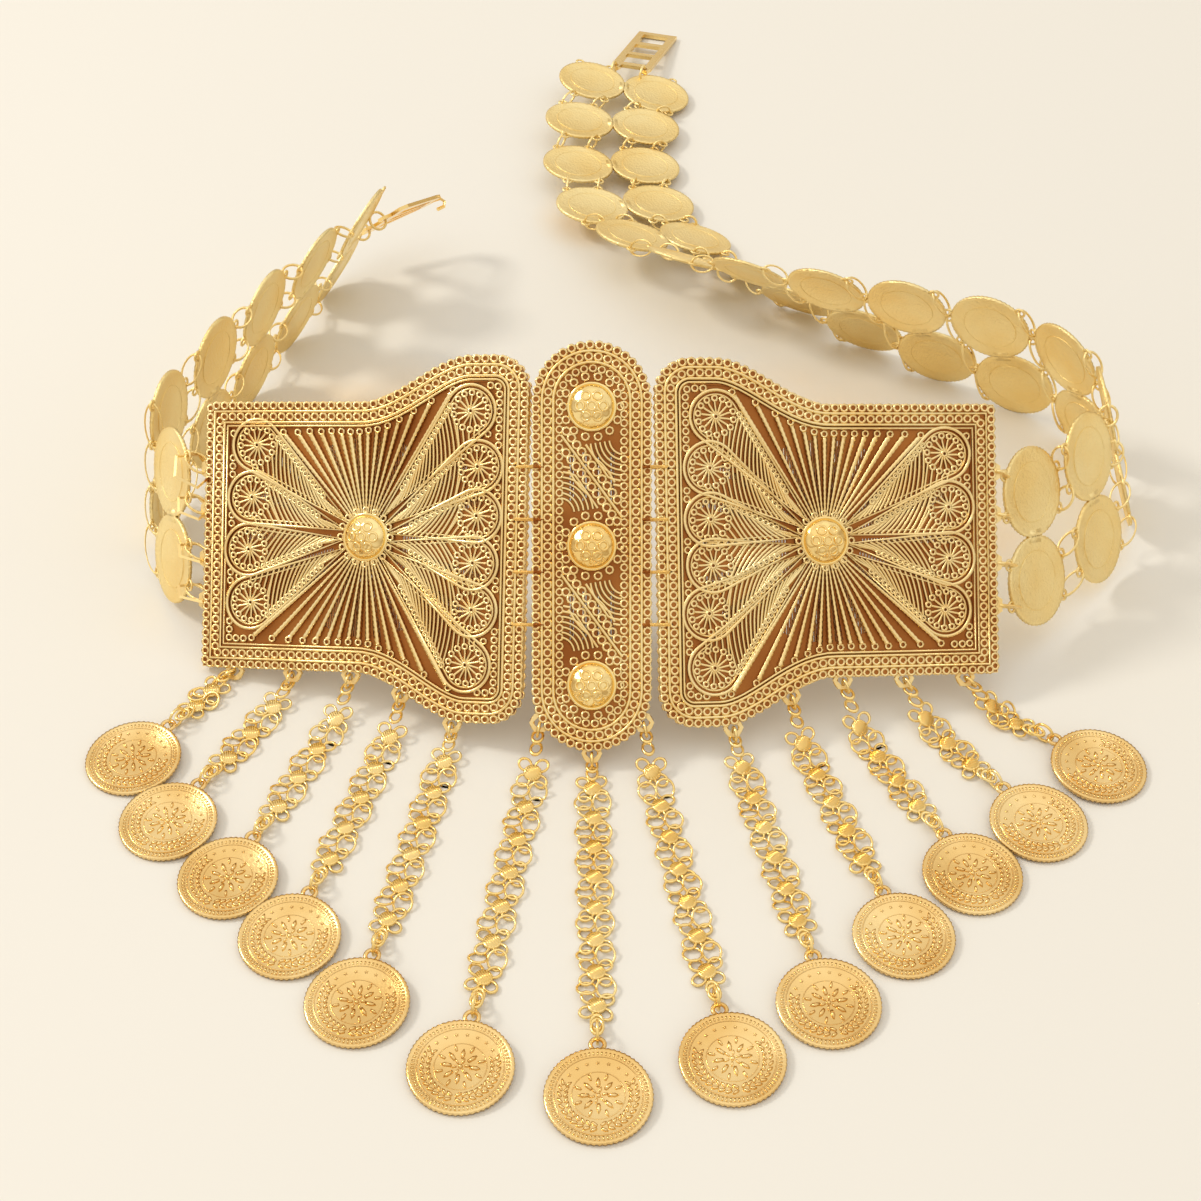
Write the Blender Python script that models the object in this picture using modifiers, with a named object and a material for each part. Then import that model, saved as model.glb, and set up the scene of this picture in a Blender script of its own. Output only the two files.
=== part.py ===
"""Gold-plated filigree waist chain with coin pendants, laid out on a level surface.

Three openwork front plates lean back on a common slope. Thirteen flower chains
run forward from their lower edges, each with a coin at its end. A band of
two-coin links goes back from each outer plate, and carries a clasp at its end.
Lengths are in millimetres and are turned into metres when a piece is placed.
"""

import math

import bmesh
import bpy
from mathutils import Matrix, Vector

MM = 0.001

# Place of the layout's zero point: the middle of the whole object's box, on the surface.
LAYOUT_ZERO = Vector((11.46, 67.8, 0.0))

# Coins and the two-coin links of the band.
COIN_D = 22.0
COIN_T = 1.1
COIN_RIM = 1.3
COIN_RIM_STEP = 0.2
COIN_SIDES = 16
LINK_STEP = 21.4
LINK_T = 1.0
LINK_HALF_PITCH = 11.6
LEAST_SPAN = 3.3
LYING_Z = 5.1
EAR_HEIGHTS = (-15.7, -5.7, 5.7, 15.7)
EAR_X = 10.1
EAR_TIP_X = 10.1
EAR_PIERCED_TIP_X = 11.7
RING_FIX_X = 8.9
EAR_BASE_HALF = 2.3
EAR_TIP_HALF = 1.4
EAR_HOLE_HALF = 1.05

# Jump rings: wire radius, and the sides of the ring and of its wire.
WIRE_R = 0.42
RING_SIDES = 5
WIRE_SIDES = 3
RING_MOST_R = 5.0

# Front plates. They lean back from upright; the outer ones also turn away and rise a little.
LEAN_DEG = 41.5
PLATE_T = 1.0
RIM_T = 1.8
RIM_WIDTH = 6.0
CENTRE_SIZE = (27.0, 93.4)
SIDE_LENGTH = 81.3
SIDE_TALL_HALF = 42.2
SIDE_LOW_HALF = 31.5
SIDE_CORNER = 8.0
FLARE_START = 14.0
FLARE_END = 41.0
SEAM_GAP = 1.5
SEAM_HEIGHTS = (-18.0, -6.0, 6.0, 18.0)
SEAM_HOLE_X = 2.2
CENTRE_POINT = Vector((-2.0, -25.4, 39.1))
BOSS_D = 12.0
BOSS_H = 2.8
BOSS_GAP = 0.3

# Openwork: slots that radiate from each side plate's boss, as (first, last, count, near, far).
# Angles are from the boss, 0 towards the outer edge, 90 up.
SIDE_FANS = (
    (-38.0, 38.0, 5, 9.0, 31.0),
    (145.0, 215.0, 5, 9.0, 30.0),
    (66.0, 114.0, 4, 9.0, 23.5),
    (246.0, 294.0, 4, 9.0, 23.5),
)
SLOT_NEAR_HALF = 0.35
SLOT_FAR_HALF = 1.0

# Chains of flower links.
FLOWER_W = 8.3
NOTCH_W = 4.6
BORE_W = 2.6
CHAIN_T = 0.9
TAB_W = 2.7
CHAIN_Z = 0.56
END_RING_R = 2.2
END_RING_Z = 2.72
TOP_RING_R = 1.6
TOP_RING_LOW_Z = 2.8
EYELET_R = 2.4
EYELET_HOLE = 1.6
EYELET_T = 0.9
COIN_EAR_X = 12.6

# One row per pendant: plate, distance of its eyelet from the plate's inner edge (on the
# centre plate from its middle), flowers in the chain, and the coin's middle on the surface.
PENDANTS = (
    ("left", 73.1, 2, (-107.2, -56.3)),
    ("left", 57.9, 3, (-96.4, -76.0)),
    ("left", 42.9, 4, (-81.0, -92.7)),
    ("left", 30.1, 5, (-65.9, -109.1)),
    ("left", 17.1, 6, (-50.2, -126.7)),
    ("centre", -11.9, 7, (-28.1, -143.0)),
    ("centre", 0.0, 8, (-0.4, -150.0)),
    ("centre", 11.9, 7, (26.6, -141.0)),
    ("right", 17.1, 6, (47.0, -126.9)),
    ("right", 31.0, 5, (64.3, -108.9)),
    ("right", 43.5, 4, (81.0, -91.5)),
    ("right", 58.4, 3, (97.6, -76.4)),
    ("right", 73.4, 2, (113.9, -58.8)),
)

# The laid band, link by link away from the front plates: the direction it runs in, in whole
# degrees, and how far its top leans to the right and to the rear, as parts of its height.
# In millimetres: how far it lies from the link before it beyond the least that their ears
# need, how far it has slipped along its own height, and how high its rings hold it up.
LEFT_BAND = (
    (118, 0.02, 0.52, 0.2, 0.0, 2.0),
    (76, 0.08, 0.32, 2.2, 0.0, 0.5),
    (69, 0.15, 0.13, 2.8, 0.0, 0.0),
    (68, 0.23, 0.00, 2.6, 0.0, 0.0),
    (66, 0.32, -0.12, 3.0, 0.0, 0.0),
    (71, 0.40, -0.23, 3.0, 0.0, 0.0),
)
RIGHT_BAND = (
    (50, -0.08, 0.56, -1.2, 0.0, 5.5),
    (54, -0.18, 0.40, -0.4, 0.0, 2.5),
    (90, -0.27, 0.24, 0.0, 0.0, 0.5),
    (126, -0.36, 0.08, 1.9, 0.0, 0.0),
    (153, -0.42, -0.05, 2.4, 0.0, 0.0),
    (158, -0.48, -0.16, 2.2, 0.0, 0.0),
    (157, -0.57, -0.25, 1.6, 0.0, 0.0),
    (154, -0.68, -0.33, 2.2, 0.0, 0.0),
    (149, -0.79, -0.41, 2.0, 1.0, 0.6),
    (132, -0.89, -0.36, 1.4, 2.0, 1.2),
    (115, -0.95, -0.28, 0.8, 3.0, 0.5),
    (102, -0.98, -0.16, 0.4, -1.5, 0.0),
    (93, -0.99, -0.05, 0.2, -3.0, 0.9),
    (80, -0.98, 0.08, 0.2, -3.5, 0.7),
)

# Clasps.
LADDER_SIZE = (33.0, 13.5)
LADDER_BAR = 2.4
LADDER_T = 1.2
LADDER_HEADING = 73.0
CLASP_RING_R = 2.6
CLASP_RING_SINK = 0.7
CLASP_EAR_Y = 5.0
HOOK_SIZE = (20.0, 24.0)
HOOK_END_HALF = 5.0
HOOK_POSE = (40, 0.55, -0.50)
HOOK_T = 1.0

GOLD_LOOKS = {
    "filigree": ((0.78, 0.56, 0.22, 1.0), 0.32),
    "coin": ((0.80, 0.58, 0.24, 1.0), 0.38),
    "chain": ((0.83, 0.62, 0.25, 1.0), 0.25),
    "clasp": ((0.82, 0.63, 0.28, 1.0), 0.24),
}

UP = Vector((0.0, 0.0, 1.0))
RIGHT = Vector((1.0, 0.0, 0.0))


def turn(degrees):
    """Unit vector in plan, in the direction of this heading."""
    angle = math.radians(degrees)
    return Vector((math.cos(angle), math.sin(angle), 0.0))


def frame_matrix(point, x_axis, y_axis):
    """Frame at a point, with its first axis along x_axis and its second near y_axis."""
    x_dir = x_axis.normalized()
    z_dir = x_dir.cross(y_axis).normalized()
    y_dir = z_dir.cross(x_dir)
    matrix = Matrix((x_dir, y_dir, z_dir)).transposed().to_4x4()
    matrix.translation = point
    return matrix


def placed(matrix):
    """The same frame in metres, in the object's own origin."""
    result = matrix.copy()
    result.translation = (matrix.translation - LAYOUT_ZERO) * MM
    return result


def clear_scene():
    for obj in list(bpy.data.objects):
        bpy.data.objects.remove(obj, do_unlink=True)


def new_collection(name, hidden=False):
    collection = bpy.data.collections.new(name)
    bpy.context.scene.collection.children.link(collection)
    collection.hide_render = hidden
    return collection


clear_scene()
PARTS = new_collection("coin_waist_chain")
HELPERS = new_collection("joined_pieces", hidden=True)


def gold(look):
    """Principled material of one of the finishes, made once."""
    name = "gold_" + look
    material = bpy.data.materials.get(name)
    if material is None:
        colour, roughness = GOLD_LOOKS[look]
        material = bpy.data.materials.new(name)
        material.use_nodes = True
        shader = material.node_tree.nodes["Principled BSDF"]
        shader.inputs["Base Color"].default_value = colour
        shader.inputs["Metallic"].default_value = 1.0
        shader.inputs["Roughness"].default_value = roughness
    return material


def add_piece(name, mesh, matrix, look):
    """A finished sub-part with its own material."""
    mesh.name = name
    obj = bpy.data.objects.new(name, mesh)
    PARTS.objects.link(obj)
    obj.matrix_world = placed(matrix)
    material = gold(look).copy()
    material.name = name
    mesh.materials.clear()
    mesh.materials.append(material)
    return obj


def add_helper(name, mesh, matrix):
    obj = bpy.data.objects.new(name, mesh)
    HELPERS.objects.link(obj)
    obj.matrix_world = placed(matrix)
    obj.hide_render = True
    obj.display_type = "WIRE"
    return obj


def join(target, others):
    """Unites helpers with a piece, so that it is one closed body."""
    for number, other in enumerate(others):
        modifier = target.modifiers.new(f"join_{number}", "BOOLEAN")
        modifier.operation = "UNION"
        modifier.solver = "EXACT"
        modifier.object = other


def flat_mesh(name, loops, thickness):
    """Plate of a 2D outline; further loops are its holes."""
    curve = bpy.data.curves.new(name, "CURVE")
    curve.dimensions = "2D"
    curve.fill_mode = "BOTH"
    curve.extrude = thickness * MM / 2.0
    for loop in loops:
        spline = curve.splines.new("POLY")
        spline.points.add(len(loop) - 1)
        for point, (x, y) in zip(spline.points, loop):
            point.co = (x * MM, y * MM, 0.0, 1.0)
        spline.use_cyclic_u = True
    obj = bpy.data.objects.new(name, curve)
    bpy.context.scene.collection.objects.link(obj)
    graph = bpy.context.evaluated_depsgraph_get()
    mesh = bpy.data.meshes.new_from_object(obj.evaluated_get(graph))
    bpy.data.objects.remove(obj, do_unlink=True)
    bpy.data.curves.remove(curve)
    work = bmesh.new()
    work.from_mesh(mesh)
    bmesh.ops.remove_doubles(work, verts=work.verts, dist=1e-6)
    bmesh.ops.recalc_face_normals(work, faces=work.faces)
    work.to_mesh(mesh)
    work.free()
    return mesh


def circle(x, y, radius, sides, first=0.0):
    step = 2.0 * math.pi / sides
    return [
        (x + radius * math.cos(first + step * k), y + radius * math.sin(first + step * k))
        for k in range(sides)
    ]


def diamond(x, y, half):
    return [(x - half, y), (x, y - half), (x + half, y), (x, y + half)]


def ring_helper(name, centre, out, axis, radius, sides=RING_SIDES, wire=WIRE_R):
    """Jump ring about an axis. Its wire crosses the points at `radius` along +out and -out."""
    bpy.ops.mesh.primitive_torus_add(
        major_segments=sides,
        minor_segments=WIRE_SIDES,
        major_radius=radius / math.cos(math.pi / sides) * MM,
        minor_radius=wire * MM,
    )
    source = bpy.context.object
    mesh = source.data
    bpy.data.objects.remove(source, do_unlink=True)
    half_step = Matrix.Rotation(math.pi / sides, 4, "Z")
    z_dir = axis.normalized()
    y_dir = z_dir.cross(out).normalized()
    x_dir = y_dir.cross(z_dir)
    matrix = Matrix((x_dir, y_dir, z_dir)).transposed().to_4x4()
    matrix.translation = centre
    return add_helper(name, mesh, matrix @ half_step)


def linking_ring(name, fixed, hole, hole_normal):
    """Ring from a fixed point on one piece, square through the middle of a hole of the next."""
    normal = hole_normal.normalized()
    back = fixed - hole
    inward = back - normal * back.dot(normal)
    radius = back.length_squared / (2.0 * inward.length)
    if radius > RING_MOST_R:
        return ring_helper(name, (fixed + hole) / 2.0, -back, back.cross(normal), back.length / 2.0)
    inward.normalize()
    return ring_helper(name, hole + inward * radius, -inward, inward.cross(normal), radius)


# Front plates


def plate_frames():
    """Frame of each front plate: first axis outward, second up its slope."""
    slope = math.radians(LEAN_DEG)
    up = Vector((0.0, math.sin(slope), math.cos(slope)))
    facing = Vector((0.0, -math.cos(slope), math.sin(slope)))
    frames = {"centre": (CENTRE_POINT, RIGHT, up)}
    for name, sign, yaw, rise, shift in (("left", -1, 18.0, 1.4, 1.4), ("right", 1, 11.0, 1.0, 0.7)):
        start = CENTRE_POINT + RIGHT * sign * (CENTRE_SIZE[0] / 2.0 + SEAM_GAP) + up * shift
        flat = RIGHT * sign * math.cos(math.radians(yaw)) - facing * math.sin(math.radians(yaw))
        tilt = math.radians(rise)
        outward = flat * math.cos(tilt) + up * math.sin(tilt)
        frames[name] = (start, outward, up * math.cos(tilt) - flat * math.sin(tilt))
    return frames


def side_half_height(x):
    """Half height of a side plate at this distance from its inner edge."""
    t = min(1.0, max(0.0, (x - FLARE_START) / (FLARE_END - FLARE_START)))
    return SIDE_TALL_HALF - (SIDE_TALL_HALF - SIDE_LOW_HALF) * t * t * (3.0 - 2.0 * t)


def side_outline(inset, ears=False):
    """Outline of a side plate: rounded inner corners, flared edges, square outer end."""
    corner = max(0.5, SIDE_CORNER - inset)
    top = []
    for k in range(3):
        angle = math.radians(180.0 - 42.0 * k)
        x = SIDE_CORNER + corner * math.cos(angle)
        y = SIDE_TALL_HALF - SIDE_CORNER + corner * math.sin(angle)
        top.append((x, y))
    for x in (17.0, 24.0, 31.0, 39.0):
        top.append((x, side_half_height(x) - inset))
    top.append((SIDE_LENGTH - inset, SIDE_LOW_HALF - inset))
    edge = []
    if ears:
        for height in reversed(EAR_HEIGHTS):
            edge.append((SIDE_LENGTH, height + EAR_BASE_HALF))
            edge.append((SIDE_LENGTH + 1.4, height + EAR_TIP_HALF))
            edge.append((SIDE_LENGTH + 1.4, height - EAR_TIP_HALF))
            edge.append((SIDE_LENGTH, height - EAR_BASE_HALF))
    return top + edge + [(x, -y) for x, y in reversed(top)]


def slot(cx, cy, angle, near, far):
    """Narrow wedge that points at (cx, cy)."""
    along = (math.cos(angle), math.sin(angle))
    across = (-along[1], along[0])
    points = []
    for reach, half in ((near, -SLOT_NEAR_HALF), (far, -SLOT_FAR_HALF), (far, SLOT_FAR_HALF), (near, SLOT_NEAR_HALF)):
        points.append((cx + along[0] * reach + across[0] * half, cy + along[1] * reach + across[1] * half))
    return points


def stadium(width, height, inset):
    """Upright outline with half-round ends."""
    radius = width / 2.0 - inset
    straight = height / 2.0 - width / 2.0
    points = []
    for k in range(8):
        angle = math.pi * k / 7.0
        points.append((radius * math.cos(angle), straight + radius * math.sin(angle)))
    return points + [(-x, -y) for x, y in points]


def front_plates(frames):
    """The three openwork plates, with the rings and eyelets that are fixed to each."""
    rings = {"centre": [], "left": [], "right": []}
    up = frames["centre"][2]
    for name in ("left", "right"):
        start, outward, side_up = frames[name]
        normal = outward.cross(side_up)
        for k, height in enumerate(SEAM_HEIGHTS):
            hole = start + outward * SEAM_HOLE_X + side_up * (height - (1.4 if name == "left" else 0.7))
            sign = -1.0 if name == "left" else 1.0
            fixed = CENTRE_POINT + RIGHT * sign * (CENTRE_SIZE[0] / 2.0 - 1.8) + up * height
            rings["centre"].append(linking_ring(f"seam_ring_{name}_{k}", fixed, hole, normal))
    pieces = {}
    start, outward, up = frames["centre"]
    width, height = CENTRE_SIZE
    slots = []
    for boss_y in (-15.9, 15.9):
        for x in (-4.6, -1.6, 1.6, 4.6):
            slots.append([(x - 0.5, boss_y - 5.5), (x + 0.5, boss_y - 5.5), (x + 0.5, boss_y + 5.5), (x - 0.5, boss_y + 5.5)])
    field = flat_mesh("centre_field", [stadium(width, height, 2.0)] + slots, PLATE_T)
    rim = flat_mesh("centre_rim", [stadium(width, height, 0.0), stadium(width, height, RIM_WIDTH)], RIM_T)
    matrix = frame_matrix(start, outward, up)
    pieces["centre"] = add_piece("centre_plate", field, matrix, "filigree")
    join(pieces["centre"], [add_helper("centre_rim", rim, matrix)])
    for name in ("left", "right"):
        start, outward, up = frames[name]
        drop = 1.4 if name == "left" else 0.7
        holes = [diamond(SEAM_HOLE_X, h - drop, EAR_HOLE_HALF) for h in SEAM_HEIGHTS]
        slots = []
        for first, last, count, near, far in SIDE_FANS:
            for k in range(count):
                angle = math.radians(first + (last - first) * k / (count - 1))
                slots.append(slot(39.5, 0.0, angle, near, far))
        field = flat_mesh(name + "_field", [side_outline(3.4)] + slots, PLATE_T)
        rim = flat_mesh(name + "_rim", [side_outline(0.0, ears=True), side_outline(RIM_WIDTH)] + holes, RIM_T)
        matrix = frame_matrix(start, outward, up)
        pieces[name] = add_piece(name + "_plate", field, matrix, "filigree")
        join(pieces[name], [add_helper(name + "_rim", rim, matrix)])
    return pieces, rings


def bosses(frames):
    """Turned domes on a small base disc, set just over the plates."""
    places = [("centre", f"boss_centre_{k + 1}", 0.0, y) for k, y in enumerate((31.8, 0.0, -31.8))]
    places += [("left", "boss_left", 39.5, 0.0), ("right", "boss_right", 39.5, 0.0)]
    radius = BOSS_D / 2.0
    profile = [(0.0, BOSS_H), (0.45, BOSS_H * 0.93), (0.74, BOSS_H * 0.62), (0.86, 0.7), (1.0, 0.6), (1.0, 0.0), (0.0, 0.0)]
    for plate, name, x, y in places:
        start, outward, up = frames[plate]
        facing = outward.cross(up) if plate != "left" else up.cross(outward)
        curve = bmesh.new()
        points = [curve.verts.new((r * radius * MM, 0.0, z * MM)) for r, z in profile]
        for a, b in zip(points, points[1:]):
            curve.edges.new((a, b))
        mesh = bpy.data.meshes.new(name)
        curve.to_mesh(mesh)
        curve.free()
        seat = start + outward * x + up * y + facing * (PLATE_T / 2.0 + BOSS_GAP)
        matrix = frame_matrix(seat, up.cross(facing), up)
        obj = add_piece(name, mesh, matrix, "filigree")
        screw = obj.modifiers.new("turned", "SCREW")
        screw.steps = screw.render_steps = 8
        screw.use_merge_vertices = True
        screw.merge_threshold = 1e-5


# The band of two-coin links


def link_frame(heading, lean_right, lean_rear):
    """Unit vectors of a link: along the band, up its height, and out of its face."""
    tall_z = math.sqrt(max(0.0, 1.0 - lean_right**2 - lean_rear**2))
    tall = Vector((lean_right, lean_rear, tall_z)).normalized()
    run = turn(heading)
    along = (run - tall * run.dot(tall)).normalized()
    return along, tall, along.cross(tall)


def link_height(tall, out):
    """Height of a link's middle when its lowest point just meets the surface."""
    round_part = COIN_D / 2.0 * math.sqrt(max(0.0, 1.0 - out.z**2))
    lowest = LINK_STEP / 2.0 * abs(tall.z) + round_part + LINK_T / 2.0 * abs(out.z)
    return max(lowest + 0.02, LYING_Z)


def band_frames(edge, outward, up, rows):
    """Middle and axes of each link, laid one after the other from the plate's outer edge.

    A link is set as near to the one before as its facing ears allow.
    """
    links = []
    middle, before, tall_before, reach, fixed_x = edge, outward, up, 1.0, 0.3
    for row in rows:
        along, tall, out = link_frame(*row[:3])
        run = turn(row[0])
        height = link_height(tall, out) + row[5]
        fixed = [middle + before * fixed_x + tall_before * h for h in EAR_HEIGHTS]
        gap = 0.0
        while True:
            step = before * reach + (before + run).normalized() * gap + along * LINK_HALF_PITCH + tall * row[4]
            spot = Vector((middle.x + step.x, middle.y + step.y, height))
            spans = [(spot - along * EAR_X + tall * h - f).dot(run) for h, f in zip(EAR_HEIGHTS, fixed)]
            if min(spans) >= LEAST_SPAN + row[3] or gap > 8.0:
                break
            gap += 0.1
        middle, before, tall_before, reach, fixed_x = spot, along, tall, LINK_HALF_PITCH, RING_FIX_X
        links.append((middle, along, tall, out))
    return links


def link_outline():
    """Figure of two fused coins, with four pierced ears behind and four plain ones ahead."""
    radius = COIN_D / 2.0
    sides = []
    for pierced in (False, True):
        side = []
        for centre, ears in ((-LINK_STEP / 2.0, EAR_HEIGHTS[:2]), (LINK_STEP / 2.0, EAR_HEIGHTS[2:])):
            waist = (4.2, 0.0) if centre > 0 else (3.4, centre - math.sqrt(radius**2 - 3.4**2))
            side.append(waist)
            for height in ears:
                low, high = height - EAR_BASE_HALF, height + EAR_BASE_HALF
                tips = [(EAR_TIP_X, height)]
                if pierced:
                    tips = [(EAR_PIERCED_TIP_X, height - EAR_TIP_HALF), (EAR_PIERCED_TIP_X, height + EAR_TIP_HALF)]
                side.append((math.sqrt(radius**2 - (low - centre) ** 2), low))
                side += tips
                side.append((math.sqrt(radius**2 - (high - centre) ** 2), high))
        side.append((3.4, LINK_STEP / 2.0 + math.sqrt(radius**2 - 3.4**2)))
        sides.append(side)
    return sides[0] + [(-x, y) for x, y in reversed(sides[1])]


def band(prefix, plate, links, clasp_rings):
    """Links of one side. Each carries the rings that pass through the next one's ears."""
    start, outward, up = plate[1]
    fixed_to = plate[0]
    edge = start + outward * SIDE_LENGTH
    anchors = [edge + outward * 0.3 + up * h for h in EAR_HEIGHTS]
    holes = [diamond(-EAR_X, h, EAR_HOLE_HALF) for h in EAR_HEIGHTS]
    for number, (middle, along, tall, out) in enumerate(links):
        rings = []
        for k, height in enumerate(EAR_HEIGHTS):
            hole = middle - along * EAR_X + tall * height
            rings.append(linking_ring(f"{prefix}_ring_{number}_{k}", anchors[k], hole, out))
        join(fixed_to, rings)
        name = f"{prefix}_{number + 1:02d}"
        mesh = flat_mesh(name, [link_outline()] + holes, LINK_T)
        fixed_to = add_piece(name, mesh, frame_matrix(middle, along, tall), "coin")
        anchors = [middle + along * RING_FIX_X + tall * h for h in EAR_HEIGHTS]
    rings = []
    for k, (centre, away, axis) in enumerate(clasp_rings):
        rings.append(ring_helper(f"{prefix}_clasp_ring_{k}", centre, away, axis, CLASP_RING_R, 8))
    join(fixed_to, rings)


# Pendants


def eyelet_place(frames, plate, x):
    """Middle of an eyelet below a plate's lower edge, and the plate's own axes."""
    start, outward, up = frames[plate]
    if plate == "centre":
        width, height = CENTRE_SIZE
        straight = height / 2.0 - width / 2.0
        reach = width / 2.0 + (0.7 if x == 0.0 else 0.4)
        point = start + outward * x - up * (straight + math.sqrt(reach**2 - x**2))
    else:
        point = start + outward * x - up * (side_half_height(x) + 0.9)
    return point, outward, up


def chain_profile(flowers, pitch, lead):
    """Stations along a chain: distance, half width, half width of the middle, open or not."""
    rows = [(0.0, TAB_W / 2.0, 0.45, False)]
    for k in range(flowers):
        mid = lead + pitch * (k + 0.5)
        rows.append((mid - pitch * 0.34, FLOWER_W / 2.0, BORE_W / 2.0, False))
        rows.append((mid, NOTCH_W / 2.0, BORE_W / 2.0, False))
        rows.append((mid + pitch * 0.34, FLOWER_W / 2.0, BORE_W / 2.0, k < flowers - 1))
    end = lead + pitch * flowers
    rows.append((end + lead, TAB_W / 2.0, 0.45, False))
    return rows


def chain_mesh(name, rows, place):
    """Ribbon of flower links, open between the two rings that join each pair."""
    work = bmesh.new()
    bmesh.ops.create_grid(work, x_segments=len(rows) - 1, y_segments=3, size=1.0)
    order = sorted(work.verts, key=lambda v: (round(v.co.x, 4), v.co.y))
    for index, vert in enumerate(order):
        distance, half, inner, _ = rows[index // 4]
        across = (-half, -inner, inner, half)[index % 4]
        vert.index = index
        vert.co = place(distance, across)
    gone = []
    for face in work.faces:
        indices = sorted(v.index for v in face.verts)
        row, column = divmod(indices[0], 4)
        if rows[row][3] and column == 1:
            gone.append(face)
    bmesh.ops.delete(work, geom=gone, context="FACES")
    bmesh.ops.recalc_face_normals(work, faces=work.faces)
    mesh = bpy.data.meshes.new(name)
    work.to_mesh(mesh)
    work.free()
    return mesh


def coin_mesh(name):
    """Struck coin: a disc with a raised rim on its face."""
    work = bmesh.new()
    radius = COIN_D / 2.0 * MM
    bmesh.ops.create_cone(
        work, cap_ends=True, segments=COIN_SIDES, radius1=radius, radius2=radius, depth=COIN_T * MM
    )
    face = max(work.faces, key=lambda f: f.calc_center_median().z)
    bmesh.ops.inset_individual(work, faces=[face], thickness=COIN_RIM * MM, depth=-COIN_RIM_STEP * MM)
    mesh = bpy.data.meshes.new(name)
    work.to_mesh(mesh)
    work.free()
    return mesh


def pendants(frames, plates):
    """Chain and coin of each pendant, and the eyelet that it hangs from."""
    eyelets = {"centre": [], "left": [], "right": []}
    for number, (plate, x, flowers, (coin_x, coin_y)) in enumerate(PENDANTS, start=1):
        point, outward, up = eyelet_place(frames, plate, x)
        normal = outward.cross(up) if plate != "left" else up.cross(outward)
        washer = flat_mesh(f"eyelet_{number}", [circle(0, 0, EYELET_R, 6), circle(0, 0, EYELET_HOLE, 4)], EYELET_T)
        eyelets[plate].append(add_helper(f"eyelet_{number}", washer, frame_matrix(point, outward, up)))

        coin_point = Vector((coin_x, coin_y, 0.0))
        away = Vector((coin_x - point.x, coin_y - point.y, 0.0)).normalized()
        sink = math.asin((END_RING_Z - COIN_T / 2.0 - 0.05) / (END_RING_R + COIN_EAR_X + COIN_D / 2.0))
        coin_dir = away * math.cos(sink) - UP * math.sin(sink)
        arm = END_RING_R + COIN_EAR_X
        pivot = coin_point - away * arm * math.cos(sink) + UP * END_RING_Z

        drop = min(0.3, max(-0.6, (point.z - TOP_RING_LOW_Z) / TOP_RING_R))
        hang = away * math.sqrt(1.0 - drop * drop) - UP * drop
        in_plate = (hang - normal * hang.dot(normal)).normalized()
        hang = (hang + in_plate).normalized()
        top_centre = point + hang * TOP_RING_R
        top_ring = ring_helper(f"top_ring_{number}", top_centre, hang, hang.cross(normal), TOP_RING_R, 5)
        end_ring = ring_helper(f"end_ring_{number}", pivot, away, away.cross(UP), END_RING_R, 8)

        lead = 2.6
        first = point + hang * (2.0 * TOP_RING_R) - away * 0.9
        last = pivot - away * (END_RING_R - 0.9)
        level = Vector((last.x - first.x, last.y - first.y, 0.0))
        length = level.length
        pitch = (length - 2.0 * lead) / flowers
        side = UP.cross(away)

        def place(distance, across, first=first, level=level, length=length, side=side):
            flow = distance / length
            fall = min(1.0, distance / 13.0)
            rise = max(0.0, (distance - length + 6.5) / 6.5)
            z = CHAIN_Z + (first.z - CHAIN_Z) * (1.0 - fall) ** 2
            z += (END_RING_Z - 0.5 - CHAIN_Z) * rise * rise
            spot = Vector((first.x, first.y, 0.0)) + level * flow + side * across
            spot.z = max(z, CHAIN_Z)
            return (spot - LAYOUT_ZERO) * MM

        mesh = chain_mesh(f"chain_{number:02d}", chain_profile(flowers, pitch, lead), place)
        chain = add_piece(f"chain_{number:02d}", mesh, Matrix.Translation(LAYOUT_ZERO), "chain")
        solid = chain.modifiers.new("thickness", "SOLIDIFY")
        solid.thickness = CHAIN_T * MM
        solid.offset = 0.0
        join(chain, [top_ring, end_ring])

        coin_side = UP.cross(away)
        matrix = frame_matrix(pivot, coin_dir, coin_side)
        mesh = coin_mesh(f"coin_{number:02d}")
        mesh.transform(Matrix.Translation((arm * MM, 0.0, 0.0)))
        coin = add_piece(f"coin_{number:02d}", mesh, matrix, "coin")
        ear = [(arm - 10.2, -2.1), (END_RING_R - 1.1, -1.5), (END_RING_R - 1.5, 0.0), (END_RING_R - 1.1, 1.5)]
        ear.append((arm - 10.2, 2.1))
        hole = diamond(END_RING_R, 0.0, 1.1)
        ear_helper = add_helper(f"coin_ear_{number}", flat_mesh(f"coin_ear_{number}", [ear, hole], COIN_T - 0.2), matrix)
        join(coin, [ear_helper])
    return eyelets


# Clasps


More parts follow.
